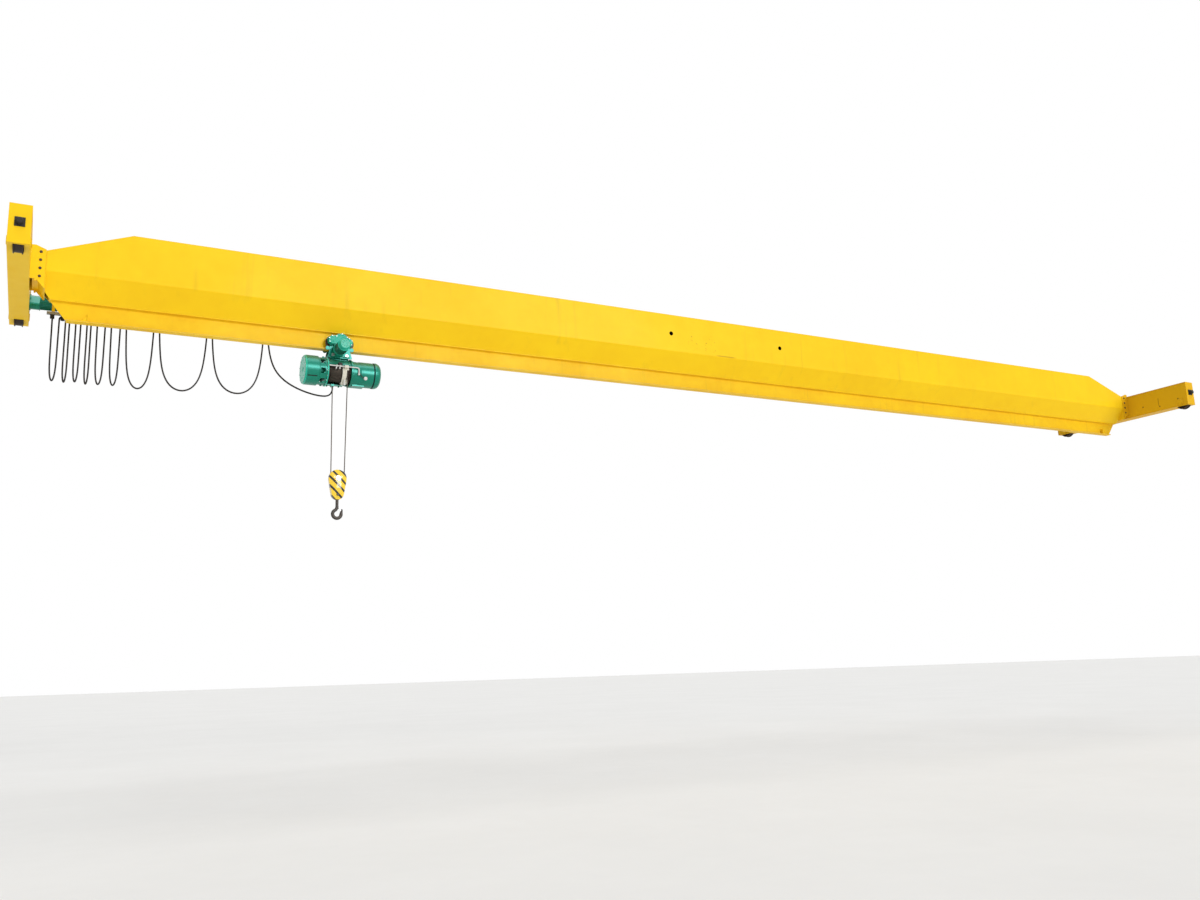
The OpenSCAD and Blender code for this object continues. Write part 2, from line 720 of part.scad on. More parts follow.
// Trailing cable swept along its loops
module festoon_cable() {
    count = len(path);
    n = cable_sides;
    points = [for (i = [0:count - 1]) each ring(i)];
    sides = [for (i = [0:count - 2]) for (k = [0:n - 1])
        [i * n + k, i * n + (k + 1) % n, (i + 1) * n + (k + 1) % n, (i + 1) * n + k]];
    color("black")
    polyhedron(points = points, faces = concat(sides,
        [[for (k = [n - 1:-1:0]) k]], [[for (k = [0:n - 1]) (count - 1) * n + k]]));
}

plate_foot = tie_z - 40;
plate_top = roller_z + roller_r + 24;

// Hanging plate beside the track, with the stub axles of two rollers and their bosses
module trolley_plate(s) {
    ya = s > 0 ? plate_in : -plate_out;
    yb = s > 0 ? plate_out : -plate_in;
    wide = roller_gap + 40;
    difference() {
        union() {
            along_y(ya, yb)
                rounded([[trolley_x - wide, beam_low + 8], [trolley_x - wide, plate_top - 50],
                    [trolley_x - wide + 60, plate_top], [trolley_x + wide - 60, plate_top],
                    [trolley_x + wide, plate_top - 50], [trolley_x + wide, beam_low + 8],
                    [trolley_x + wide + 40, plate_foot], [trolley_x - wide - 30, plate_foot]],
                    [30, 20, 30, 30, 20, 30, 12, 12]);
            for (x = [-roller_gap, roller_gap])
                bar_y(s > 0 ? plate_in - room + over : -plate_in - over,
                    s > 0 ? plate_in + over : -plate_in + room - over,
                    trolley_x + x, roller_z, stub_r * 1.5);
        }
        for (x = [trolley_x - tie_x, trolley_x + tie_x])
            bar_y(ya - over, yb + over, x, tie_z, tie_r + bore_gap);
    }
    for (x = [-roller_gap, roller_gap])
        bar_y(s > 0 ? roller_in - 2 : -plate_in - over, s > 0 ? plate_in + over : -roller_in + 2,
            trolley_x + x, roller_z, stub_r);
    if (s > 0) for (x = [-roller_gap, roller_gap])
        bar_y(plate_out, plate_out + plate_t, trolley_x + x, roller_z, stub_r * 1.4);
}

module trolley_near_plate() { color("seagreen") trolley_plate(-1); }
module trolley_far_plate() { color("seagreen") trolley_plate(1); }

// Flanged roller on the track's bottom flange; the driven pair has teeth round its flange
module roller(sx, sy) {
    x = trolley_x + sx * roller_gap;
    rim_r = roller_r + roller_rim;
    pitch = 180 / roller_teeth;
    difference() {
        translate([x, 0, roller_z]) rotate([sy > 0 ? -90 : 90, 0, 0]) rotate_extrude()
            polygon([[stub_r + bore_gap, roller_in], [roller_r - 3, roller_in],
                [roller_r, roller_in + 3], [roller_r, roller_out],
                [rim_r, roller_out + 2], [rim_r, roller_end], [roller_r * 0.72, roller_end],
                [roller_r * 0.66, roller_end - 6], [stub_r * 1.8, roller_end - 6],
                [stub_r * 1.7, roller_end], [stub_r + bore_gap, roller_end]]);
        if (sy < 0) for (i = [0:roller_teeth - 1])
            translate([x, 0, roller_z]) rotate([0, (2 * i + 1) * pitch, 0])
                bar_y(-roller_end - over, -roller_out + over, rim_r + over, 0,
                    rim_r * sin(pitch) * 0.55);
    }
}

module near_left_roller() { color("dimgray") roller(-1, -1); }
module near_right_roller() { color("dimgray") roller(1, -1); }
module far_left_roller() { color("dimgray") roller(-1, 1); }
module far_right_roller() { color("dimgray") roller(1, 1); }

// Tie bolts between the plates, with nuts outside
module tie_bolts() {
    nut = tie_r * 1.2;
    color("gray")
    for (x = [trolley_x - tie_x, trolley_x + tie_x]) {
        bar_y(-plate_out - nut * 1.4, plate_out + nut * 1.4, x, tie_z, tie_r);
        translate([x, -plate_out, tie_z]) rotate([90, 0, 0])
            cylinder(h = nut, r = tie_r * 1.7, $fn = 6);
        translate([x, plate_out + nut, tie_z]) rotate([90, 0, 0])
            cylinder(h = nut, r = tie_r * 1.7, $fn = 6);
    }
}

left_lobe = [trolley_x - 118, tie_z + 218];
main_lobe = [trolley_x + 8, tie_z + 215];
right_lobe = [trolley_x + 112, tie_z + 198];
motor_lobe = [trolley_x - 14, tie_z + 78];
rib = 8;

// Cast housing of lobes round the gears, with a cover plate, bolt bosses and the motor's seat
module travel_gearbox() {
    y1 = -plate_out;
    y0 = y1 - travel_t;
    color("mediumseagreen") {
        lobes(y0 + rib, y1, 0);
        lobes(y0 + 2.5 * rib, y0 + 4 * rib, rib * 0.7);
        lobes(y1 - rib, y1, rib * 0.9);
        bar_y(y0, y0 + 3 * rib, motor_lobe[0], motor_lobe[1], travel_r + rib);
        bar_y(y0, y0 + 3 * rib, left_lobe[0], left_lobe[1], 26);
        bar_y(y0, y0 + 3 * rib, right_lobe[0], right_lobe[1], 22);
    }
}

// The lobed outline between two distances from the track, grown by a margin
module lobes(y0, y1, grow) {
    bar_y(y0, y1, left_lobe[0], left_lobe[1], 62 + grow);
    bar_y(y0, y1, main_lobe[0], main_lobe[1], 104 + grow);
    bar_y(y0, y1, right_lobe[0], right_lobe[1], 60 + grow);
    bar_y(y0, y1, motor_lobe[0], motor_lobe[1], 80 + grow);
    for (a = [35, 88, 142])
        bar_y(y0, y1, main_lobe[0] + (100 + grow) * cos(a), main_lobe[1] + (100 + grow) * sin(a),
            rib * 1.5);
    for (a = [100, 160, 215])
        bar_y(y0, y1, left_lobe[0] + (60 + grow) * cos(a), left_lobe[1] + (60 + grow) * sin(a),
            rib * 1.4);
    for (a = [-40, 30, 80])
        bar_y(y0, y1, right_lobe[0] + (57 + grow) * cos(a), right_lobe[1] + (57 + grow) * sin(a),
            rib * 1.4);
}

fins = 24;

// Ribbed travel motor with a smaller slotted cap
module travel_motor() {
    y = -plate_out - travel_t;
    cap = travel_r * 0.8;
    color("seagreen")
    difference() {
        union() {
            turned_y(motor_lobe[0], y, motor_lobe[1])
                polygon([[0, 0], [travel_r, 0], [travel_r, travel_len * 0.08],
                    [travel_r * 0.91, travel_len * 0.1], [travel_r * 0.91, travel_len * 0.68],
                    [travel_r, travel_len * 0.7], [travel_r, travel_len * 0.76],
                    [cap, travel_len * 0.8], [cap, travel_len * 0.94],
                    [cap * 0.88, travel_len], [0, travel_len]]);
            for (i = [0:fins - 1])
                translate([motor_lobe[0], 0, motor_lobe[1]]) rotate([0, i * 360 / fins, 0])
                    span_box(travel_r * 0.86, travel_r, y - travel_len * 0.71,
                        y - travel_len * 0.07, -1.5, 1.5);
        }
        for (i = [0:7])
            translate([motor_lobe[0], 0, motor_lobe[1]]) rotate([0, i * 45 + 22, 0])
                span_box(cap * 0.4, cap * 0.76, y - travel_len - over, y - travel_len + 6, -3, 3);
    }
}

// Shell round the rope drum, open in front and below, with end flanges and hanging lugs
module hoist_casing() {
    lug_t = 14;
    lug_y = plate_in / 2;
    mouth = casing_r * 0.1;
    color("seagreen")
    difference() {
        union() {
            bar_x(casing_x0, casing_x1, 0, hoist_z, casing_r);
            turned_x(neck_x, 0, hoist_z)
                polygon([[casing_r - 2 * casing_t, 0], [motor_r - 2, 0], [motor_r + 3, 4],
                    [motor_r + 3, flange_t - 4], [motor_r - 2, flange_t],
                    [casing_r - 2 * casing_t, flange_t]]);
            bar_x(casing_x1, gear_x, 0, hoist_z, motor_r - 10);
            for (s = [-1, 1])
                along_y(s * lug_y - lug_t / 2, s * lug_y + lug_t / 2)
                    polygon([[casing_x0 + 20, hoist_z + casing_r * 0.6],
                        [trolley_x - tie_x - 35, tie_z + 10], [trolley_x - tie_x - 20, tie_z + 32],
                        [trolley_x + tie_x + 20, tie_z + 32], [trolley_x + tie_x + 35, tie_z + 10],
                        [casing_x1 - 10, hoist_z + casing_r * 0.6]]);
            for (x = [trolley_x - 60, trolley_x + 60])
                span_box(x - 5, x + 5, -lug_y, lug_y, hoist_z + casing_r * 0.9, tie_z - tie_r * 2);
            span_box(box_x - 110, box_x + 110, casing_r * 0.5, box_y, hoist_z - 40, hoist_z + 50);
            span_box(dead_x - 22, dead_x + 22, -22, casing_r * 0.35, hoist_z - casing_r - 26,
                hoist_z - casing_r + 40);
            for (x = [casing_x0 + 30, casing_x1 - 30])
                turned_x(x - 5, 0, hoist_z) translate([casing_r - casing_t / 2, 0]) square([10, 10]);
        }
        bar_x(neck_x - over, gear_x + over, 0, hoist_z, casing_r - casing_t);
        bar_x(casing_x1 - over, gear_x + over, rod_y, rod_z, rod_r + seat_gap);
        span_box(casing_x0, casing_x1, -motor_r, mouth, hoist_z - motor_r * 0.98, window_top);
        for (x = [trolley_x - tie_x, trolley_x + tie_x])
            bar_y(-2 * lug_y, 2 * lug_y, x, tie_z, tie_r + bore_gap);
    }
    difference() {
        span_box(dead_x - 22, dead_x + 22, -22, casing_r * 0.35, hoist_z - casing_r - 26,
            hoist_z - casing_r + 2);
        bar_z(hoist_z - 2 * casing_r, hoist_z, dead_x, 0, rope_r + seat_gap);
    }
}

windows = 8;

// Motor with an open windowed neck, a slotted body and a round bolted end cover
module hoist_motor() {
    neck_r = casing_r + motor_extra / 2;
    color("mediumseagreen")
    difference() {
        union() {
            difference() {
                bar_x(motor_x - over, neck_x, 0, hoist_z, neck_r);
                bar_x(motor_x, neck_x - 12, 0, hoist_z, neck_r - 12);
                for (i = [0:windows - 1])
                    translate([0, 0, hoist_z]) rotate([i * 360 / windows + 12, 0, 0])
                        span_box(motor_x + 14, neck_x - 26, neck_r * 0.8, neck_r * 1.2,
                            -neck_r * 0.2, neck_r * 0.2);
            }
            bar_x(motor_x - over, neck_x - 12, 0, hoist_z, neck_r * 0.56);
            turned_x(cover_x, 0, hoist_z)
                polygon([[0, 0], [motor_r - 6, 0], [motor_r, 6], [motor_r, motor_len - 10],
                    [motor_r - 10, motor_len], [0, motor_len]]);
            turned_x(cover_x - cover_t, 0, hoist_z)
                polygon([[0, -6], [34, -6], [40, 0], [motor_r - 20, 0], [motor_r - 8, 8],
                    [motor_r - 8, cover_t + over], [0, cover_t + over]]);
            for (i = [0:7])
                translate([0, 0, hoist_z]) rotate([i * 45 + 20, 0, 0])
                    bar_x(neck_x - 54, neck_x - 24, 0, neck_r + 4, 13);
        }
        bar_x(neck_x - 48, neck_x + over, 0, hoist_z, shaft_r + bore_gap);
        for (i = [0:11])
            translate([0, 0, hoist_z]) rotate([i * 30, 0, 0])
                bar_x(cover_x - cover_t - over, cover_x - cover_t + 8, 0, motor_r * 0.62, 10);
        translate([0, 0, hoist_z]) rotate([-144.4, 0, 0])
            span_box(cover_x + 12, motor_x - 34, motor_r - 14, motor_r + 9, -9, 9);
    }
}

// Turned gear case with a bolted flange, a rubber seam and a domed cap
module hoist_gearbox() {
    case_r = casing_r + 2;
    color("mediumseagreen")
    difference() {
        union() {
            turned_x(gear_x, 0, hoist_z)
                polygon([[0, 0], [case_r + 8, 0], [case_r + 8, 12], [case_r, 16],
                    [case_r - 6, gear_len * 0.2], [case_r, gear_len * 0.3],
                    [case_r, gear_len * 0.72], [case_r - 11, gear_len * 0.725],
                    [case_r - 11, gear_len * 0.755], [case_r + 4, gear_len * 0.76],
                    [case_r + 5, gear_len * 0.8], [case_r + 1, gear_len * 0.86],
                    [case_r - 10, gear_len * 0.92], [case_r - 32, gear_len * 0.965],
                    [case_r - 70, gear_len * 0.992], [case_r - 120, gear_len], [0, gear_len]]);
            for (i = [0:9])
                translate([0, 0, hoist_z]) rotate([i * 36, 0, 0])
                    bar_x(gear_x, gear_x + 24, 0, case_r - 1, 11);
            for (i = [0:5])
                translate([0, 0, hoist_z]) rotate([i * 60 + 30, 0, 0])
                    span_box(gear_x + gear_len * 0.765, gear_x + gear_len * 0.84, -5, 5,
                        case_r * 0.8, case_r + 9);
            span_box(gear_x + 20, gear_x + gear_len * 0.45, -70, 70, hoist_z - case_r - 6,
                hoist_z - case_r + 30);
        }
        bar_x(gear_x - over, gear_x + 40, 0, hoist_z, shaft_r + bore_gap);
    }
}

groove = 2 * rope_r + 2;

// Grooved rope drum on its shaft
module rope_drum() {
    x0 = casing_x0 + room;
    x1 = casing_x1 - room;
    turns = floor((x1 - x0 - 2 * flange_t) / groove);
    color("dimgray")
    turned_x(0, 0, hoist_z) difference() {
        union() {
            translate([0, neck_x - 24]) square([shaft_r, gear_x + 34 - neck_x + 24]);
            translate([0, x0]) square([drum_r, x1 - x0]);
            translate([0, x0]) square([drum_r + 3 * rope_r, flange_t * 0.75]);
            translate([0, x1 - flange_t * 0.75]) square([drum_r + 3 * rope_r, flange_t * 0.75]);
        }
        for (i = [0:turns - 1])
            translate([drum_r + rope_r * 0.55, x0 + flange_t + (i + 0.5) * groove])
                circle(r = rope_r + seat_gap);
    }
}

guide_x1 = casing_x1 - 36;
guide_x0 = guide_x1 - guide_w;
guide_r = casing_r - 2 * casing_t;

// Channel-shaped guide ring round the drum, with a lug on the limit rod and a lower tail
module rope_guide() {
    color("wheat")
    difference() {
        union() {
            turned_x(guide_x0, 0, hoist_z)
                polygon([[guide_r - 16, 0], [guide_r, 0], [guide_r, 12], [guide_r - 8, 20],
                    [guide_r - 8, guide_w - 20], [guide_r, guide_w - 12], [guide_r, guide_w],
                    [guide_r - 16, guide_w]]);
            span_box(guide_x0 + 18, guide_x1 - 18, rod_y - 18, -guide_r + 12, rod_z - 18,
                rod_z + 18);
            span_box(guide_x0 + 4, guide_x0 + 34, -66, -30, hoist_z - guide_r - 22,
                hoist_z - guide_r + 26);
        }
        bar_x(guide_x0 - over, guide_x1 + over, rod_y, rod_z, rod_r + seat_gap);
        span_box(guide_x0 - over, guide_x1 + over, 0, 2 * guide_r, hoist_z - 2 * guide_r,
            hoist_z - guide_r * 0.3);
        span_box(fall_x - 22, guide_x1 + over, -guide_r - 30, -guide_r * 0.6,
            hoist_z - 2 * guide_r, hoist_z + rope_r);
        bar_x(guide_x0 - over, guide_x1 + over, 0, hoist_z, drum_r + 2 * rope_r + 6);
    }
}

rod_y = -casing_r - 18;
rod_z = hoist_z + 48;
rod_bend = 30;

// Limit rod in front of the window, bent down at its right end, with two stop collars
module guide_rod() {
    end_x = gear_x + 56;
    color("lightgray")
    union() {
        bar_x(casing_x0, end_x + over, rod_y, rod_z, rod_r);
        translate([end_x, rod_y, rod_z - rod_bend]) rotate([90, 0, 0])
            rotate_extrude(angle = 90) translate([rod_bend, 0]) circle(r = rod_r + 0.6);
        bar_z(rod_z - 3.1 * rod_bend, rod_z - rod_bend + over, end_x + rod_bend, rod_y, rod_r);
        for (x = [trolley_x - 66, trolley_x - 14])
            bar_x(x - 9, x + 9, rod_y, rod_z, rod_r * 2);
    }
}

// Control box on the far side: rounded case, raised door, hinges and cable glands
module control_box() {
    x0 = box_x - box_len / 2;
    x1 = box_x + box_len / 2;
    y1 = box_y + box_d;
    color("seagreen")
    difference() {
        union() {
            along_x(x0, x1)
                rounded([[box_y, box_z], [y1 - 12, box_z], [y1 - 12, box_z + box_h],
                    [box_y, box_z + box_h]], [8, 12, 12, 8]);
            along_y(y1 - 12, y1)
                rounded([[x0 + 10, box_z + 10], [x1 - 10, box_z + 10],
                    [x1 - 10, box_z + box_h - 10], [x0 + 10, box_z + box_h - 10]],
                    [10, 10, 10, 10]);
            for (z = [box_z + 45, box_z + box_h - 45])
                bar_z(z - 18, z + 18, x0 + 7, y1 - 6, 7);
            for (x = [-90, 0, 90])
                bar_z(box_z - gland_h, box_z + over, box_x + x, cable_end[1],
                    x == 0 ? cable_r * 1.7 : cable_r * 1.3);
        }
        span_box(x1 - 34, x1 - 22, y1 - 5, y1 + over, box_z + box_h / 2 - 22,
            box_z + box_h / 2 + 22);
    }
}

// The two falls of rope between the hoist and the hook block
module hoist_ropes() {
    color("darkgray") {
        bar_z(sheave_z, hoist_z - casing_r + 1, dead_x, 0, rope_r, $fn = 12);
        rope_piece([fall_x, 0, sheave_z], [fall_x - 6, -rope_in, hoist_z]);
    }
}

module rope_piece(a, b) {
    v = b - a;
    translate(a) rotate([0, acos(v[2] / norm(v)), atan2(v[1], v[0])])
        cylinder(h = norm(v), r = rope_r, $fn = 12);
}

cheek_y = 52;
gap_y = max(24, shank_r + 2);
sheave_out = sheave_pitch + 2 * rope_r;
cross_z = sheave_z - block_drop - 15;

// Egg-shaped hook block domed both ways, hollow for the sheave, slotted for the two ropes
module block_body() {
    round_z = 340;
    round_x = 900;
    pin_r = 25;
    trunnion_r = 18;
    color("gold")
    difference() {
        union() {
            intersection() {
                link_y(-cheek_y - over, cheek_y + over, [hook_x, sheave_z], block_r,
                    [hook_x, sheave_z - block_drop], block_foot_r);
                dome_over(round_z, false);
                dome_over(round_x, true);
            }
            for (y = [[-cheek_y - 2, -gap_y - 6], [gap_y + 6, cheek_y + 2]])
                bar_y(y[0], y[1], hook_x, sheave_z, 44);
        }
        link_y(-gap_y, gap_y, [hook_x, sheave_z], block_r - 8,
            [hook_x, sheave_z - block_drop], block_foot_r - 8);
        span_box(hook_x - 50, hook_x + 50, -gap_y, gap_y, sheave_z - block_drop - 2 * block_foot_r,
            sheave_z - block_drop);
        bar_y(-2 * cheek_y, 2 * cheek_y, hook_x, sheave_z, pin_r + bore_gap);
        bar_y(-2 * cheek_y, 2 * cheek_y, hook_x, cross_z, trunnion_r + bore_gap);
        for (s = [-1, 1])
            span_box(hook_x + s * sheave_pitch - 15, hook_x + s * sheave_pitch + 15, -16, 16,
                sheave_z, sheave_z + 1.5 * block_r);
    }
}

// Two large cylinders whose common part domes a plate across Y
module dome_over(r, flat) {
    mid = sheave_z - block_drop * 0.4;
    intersection() {
        dome_bar(-1, r, flat, mid);
        dome_bar(1, r, flat, mid);
    }
}

module dome_bar(s, r, flat, mid) {
    y = s * (r - cheek_y);
    if (flat) bar_x(hook_x - 2 * block_r, hook_x + 2 * block_r, y, mid, r, $fn = 240);
    else bar_z(mid - 3 * block_r, mid + 3 * block_r, hook_x, y, r, $fn = 240);
}

module block_pin() {
    color("gray")
    union() {
        bar_y(-cheek_y - 2, cheek_y + 2, hook_x, sheave_z, 25);
        bar_y(-cheek_y - 10, -cheek_y - 2, hook_x, sheave_z, 36);
        bar_y(cheek_y + 2, cheek_y + 10, hook_x, sheave_z, 36);
    }
}

// Sheave with a round rope groove, a thin web with holes, and a hub
module block_sheave() {
    color("dimgray")
    difference() {
        turned_y(hook_x, 0, sheave_z) difference() {
            polygon([[25 + bore_gap, -20], [42, -20], [46, -8], [74, -8], [80, -18],
                [sheave_out, -18], [sheave_out, 18], [80, 18], [74, 8], [46, 8], [42, 20],
                [25 + bore_gap, 20]]);
            translate([sheave_pitch, 0]) circle(r = rope_r + 1.5);
            polygon([[sheave_pitch, -rope_r - 1.5], [sheave_out + over, -15.5],
                [sheave_out + over, 15.5], [sheave_pitch, rope_r + 1.5]]);
        }
        for (a = [0:60:300])
            translate([hook_x, 0, sheave_z]) rotate([0, a, 0]) bar_y(-12, 12, 60, 0, 9);
    }
}

module crosshead() {
    color("gray")
    difference() {
        union() {
            span_box(hook_x - 42, hook_x + 42, -gap_y + 0.5, gap_y - 0.5, cross_z - 30,
                cross_z + 30);
            bar_y(-cheek_y - 2, cheek_y + 2, hook_x, cross_z, 18);
        }
        bar_z(cross_z - 40, cross_z + 40, hook_x, 0, shank_r * 0.8 + bore_gap);
    }
}

stem_r = shank_r * 0.8;
neck_bend = bowl_r * 0.97;
metal_r = bowl_r * 0.4;
bowl_z = cross_z - 4.6 * bowl_r;
neck_z = bowl_z + sqrt(2 * neck_bend * bowl_r + bowl_r * bowl_r);
sweep = atan2(neck_z - bowl_z, neck_bend);

// Forged hook: nut, stem, shoulder, a neck that curves back, the bowl and an outward tip
module hook() {
    color("slategray")
    union() {
        translate([hook_x, 0, cross_z + 30.3]) cylinder(h = 26, r = gap_y - 1.5, $fn = 6);
        bar_z(cross_z - 60, cross_z + 31, hook_x, 0, stem_r);
        translate([hook_x, 0, cross_z - 30.5]) mirror([0, 0, 1]) rotate_extrude()
            polygon([[0, 0], [gap_y - 1, 0], [gap_y - 1, 16], [shank_r, 28],
                [shank_r, cross_z - 30.5 - neck_z + 2], [0, cross_z - 30.5 - neck_z + 2]]);
        translate([hook_x - neck_bend, 0, neck_z]) rotate([90, 0, 0])
            rotate([0, 0, -sweep - 1]) rotate_extrude(angle = sweep + 1)
                translate([neck_bend, 0]) circle(r = metal_r * 0.95);
        translate([hook_x, 0, bowl_z]) rotate([90, 0, 0]) {
            rotate([0, 0, 180 - sweep - 2]) rotate_extrude(angle = 187 + sweep)
                translate([bowl_r, 0]) circle(r = metal_r);
        }
        translate([hook_x + bowl_r, 0, bowl_z + 2]) rotate([0, 10, 0]) {
            cylinder(h = bowl_r, r1 = metal_r * 0.98, r2 = metal_r * 0.5);
            translate([0, 0, bowl_r]) sphere(r = metal_r * 0.5);
        }
        bar_y(-7, 7, hook_x + metal_r, latch_z, 12);
    }
}

latch_z = bowl_z + 1.55 * bowl_r;

// Safety latch of bent sheet between the hook's neck and its tip
module hook_latch() {
    pivot = [hook_x + metal_r + 8, latch_z];
    tip = [hook_x + bowl_r * 0.77, bowl_z + bowl_r * 0.8];
    color("silver")
    difference() {
        link_y(-11, 11, pivot, 9, tip, 5);
        link_y(-7.5, 7.5, [pivot[0] - 9, pivot[1] + 2], 22, [tip[0] - 12, tip[1] + 4], 8);
    }
}

girder_trough();
girder_lid();
track_beam();
left_nose();
right_nose();
left_carriage();
right_carriage();
left_bearings();
right_bearings();
left_buffers();
right_buffers();
left_drive();
right_drive();
track_stops();
cable_rail();
rail_arms();
cable_carriers();
festoon_cable();
left_near_wheel();
left_far_wheel();
right_near_wheel();
right_far_wheel();
trolley_near_plate();
trolley_far_plate();
near_left_roller();
near_right_roller();
far_left_roller();
far_right_roller();
tie_bolts();
travel_gearbox();
travel_motor();
hoist_casing();
hoist_motor();
hoist_gearbox();
rope_drum();
rope_guide();
guide_rod();
control_box();
hoist_ropes();
block_body();
block_pin();
block_sheave();
crosshead();
hook();
hook_latch();
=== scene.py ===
# %% [markdown]
# # Overhead bridge crane
# The real object is a yellow box girder on two end carriages, with a green rope hoist that runs on
# the girder's lower beam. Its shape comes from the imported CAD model, which is loaded as a fixed
# frame. This notebook adds what the eye looks for: paint, wear, dust, wound and hanging rope,
# the trailing cable with its carriers, and bolts. Lengths are in metres. X runs along the girder,
# Y away from the viewer, and Z up.

# %% Load the frame
import json
from math import asin, cos, pi, radians, sin, sqrt

import bmesh
import bpy
import numpy as np
from mathutils import Matrix, Vector

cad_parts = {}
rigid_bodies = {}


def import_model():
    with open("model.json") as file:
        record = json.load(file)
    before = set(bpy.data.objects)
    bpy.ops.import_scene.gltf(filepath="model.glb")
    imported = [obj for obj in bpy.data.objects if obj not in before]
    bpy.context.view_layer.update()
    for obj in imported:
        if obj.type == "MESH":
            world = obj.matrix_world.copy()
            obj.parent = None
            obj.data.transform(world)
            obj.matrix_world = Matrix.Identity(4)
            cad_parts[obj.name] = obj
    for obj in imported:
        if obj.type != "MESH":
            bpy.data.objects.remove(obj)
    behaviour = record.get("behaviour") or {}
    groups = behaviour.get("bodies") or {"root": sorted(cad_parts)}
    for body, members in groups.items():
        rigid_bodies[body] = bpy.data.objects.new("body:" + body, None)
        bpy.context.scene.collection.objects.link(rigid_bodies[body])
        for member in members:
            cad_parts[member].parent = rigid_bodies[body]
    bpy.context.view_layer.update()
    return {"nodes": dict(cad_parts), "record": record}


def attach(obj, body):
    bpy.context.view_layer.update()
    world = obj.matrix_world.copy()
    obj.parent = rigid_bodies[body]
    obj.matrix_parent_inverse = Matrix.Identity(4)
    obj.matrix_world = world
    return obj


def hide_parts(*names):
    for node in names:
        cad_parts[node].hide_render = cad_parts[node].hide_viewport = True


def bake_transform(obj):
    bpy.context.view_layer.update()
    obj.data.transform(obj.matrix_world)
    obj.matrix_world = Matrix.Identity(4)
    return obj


for left_over in list(bpy.data.objects):
    bpy.data.objects.remove(left_over)
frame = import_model()
nodes = frame["nodes"]

# %% [markdown]
# ## Camera
# The view is from low down, in line with the girder's left end. Its place and lens could be
# guessed by eye, or solved from corners whose real position is known. They were solved, because a
# girder 22 m long shows every small error at its far end.

# %% Camera
CAMERA_PLACE = (-10.87, -15.33, -5.13)
YAW, PITCH, ROLL = radians(28.4616), radians(11.5726), radians(-1.9664)
LENS_MM, SENSOR_MM, SEES_AS_FAR_AS = 31.79, 36, 200


def in_scene(name, data):
    """A new object with this data, linked to the scene."""
    thing = bpy.data.objects.new(name, data)
    bpy.context.scene.collection.objects.link(thing)
    return thing


camera_data = bpy.data.cameras.new("camera")
camera_data.lens = LENS_MM
camera_data.sensor_width = SENSOR_MM
camera_data.clip_end = SEES_AS_FAR_AS
camera = in_scene("camera", camera_data)
turn = Matrix.Rotation(-YAW, 4, "Z") @ Matrix.Rotation(pi / 2 + PITCH, 4, "X")
camera.matrix_world = Matrix.Translation(CAMERA_PLACE) @ turn @ Matrix.Rotation(ROLL, 4, "Z")
bpy.context.scene.camera = camera
print("camera looks right by", round(np.degrees(YAW), 1), "degrees")

# %% [markdown]
# ## Tools for materials
# Paint, dust and wear are mixed from shader nodes. A painted image would be quicker, but a texture
# worked out from the object's own coordinates stays sharp at any distance on a girder this long.
# Small functions place the nodes, because lines that read like a sum are easy to follow.


# %% Single nodes
def add(tree, kind, inputs=None, **settings):
    """A new shader node with its settings; each input takes a value or another node's output."""
    new = tree.nodes.new("ShaderNode" + kind)
    for key, value in settings.items():
        setattr(new, key, value)
    for key, value in (inputs or {}).items():
        if isinstance(value, bpy.types.NodeSocket):
            tree.links.new(value, new.inputs[key])
        else:
            new.inputs[key].default_value = value
    return new


def mix(tree, share, first, second):
    """The colour between two others: first x (1 - share) + second x share."""
    return add(tree, "Mix", {0: share, 6: first, 7: second}, data_type="RGBA").outputs[2]


def calc(tree, operation, *values):
    """One arithmetic step between numbers or outputs, without a limit on its result."""
    return add(tree, "Math", dict(enumerate(values)), operation=operation).outputs[0]


def times(tree, *values):
    """The product of two or more numbers or outputs."""
    product = values[0]
    for value in values[1:]:
        product = calc(tree, "MULTIPLY", product, value)
    return product


def ramp(tree, value, low, high, start=0.0, end=1.0):
    """Value carried from the range low..high to start..end, and held at the ends."""
    names = {"Value": value, "From Min": low, "From Max": high, "To Min": start, "To Max": end}
    return add(tree, "MapRange", names).outputs[0]


def noise(tree, scale, detail=4.0, stretch=(1, 1, 1), roughness=0.55):
    """Cloudy values on the object's own coordinates, squeezed along the axes by stretch."""
    place = add(tree, "TexCoord").outputs["Object"]
    squeezed = add(tree, "Mapping", {"Vector": place, "Scale": stretch}).outputs[0]
    names = {"Vector": squeezed, "Scale": scale, "Detail": detail, "Roughness": roughness}
    return add(tree, "TexNoise", names).outputs[0]


print("six tools for single nodes are ready")

# %% [markdown]
# An effect that many finishes share, such as dust, becomes a node group. It could be copied into
# each material, but as a group it is built once, and each material only gives its own values.

# %% Node groups
COLOUR, NUMBER, ARROW = "NodeSocketColor", "NodeSocketFloat", "NodeSocketVector"
WHITE = (1, 1, 1, 1)


def new_group(name, inputs, outputs):
    """An empty node group; an input's kind follows from its value: colour, number or arrow."""
    tree = bpy.data.node_groups.new(name, "ShaderNodeTree")
    for label, value in inputs.items():
        kind = {tuple: COLOUR, float: NUMBER}.get(type(value), ARROW)
        socket = tree.interface.new_socket(label, in_out="INPUT", socket_type=kind)
        if kind != ARROW:
            socket.default_value = value
    for label, kind in outputs.items():
        tree.interface.new_socket(label, in_out="OUTPUT", socket_type=kind)
    return tree, tree.nodes.new("NodeGroupInput").outputs, tree.nodes.new("NodeGroupOutput").inputs


def use(tree, group, inputs):
    """A group placed in a material; returns its outputs."""
    return add(tree, "Group", inputs, node_tree=group).outputs


print("groups pass on", COLOUR, NUMBER, ARROW)

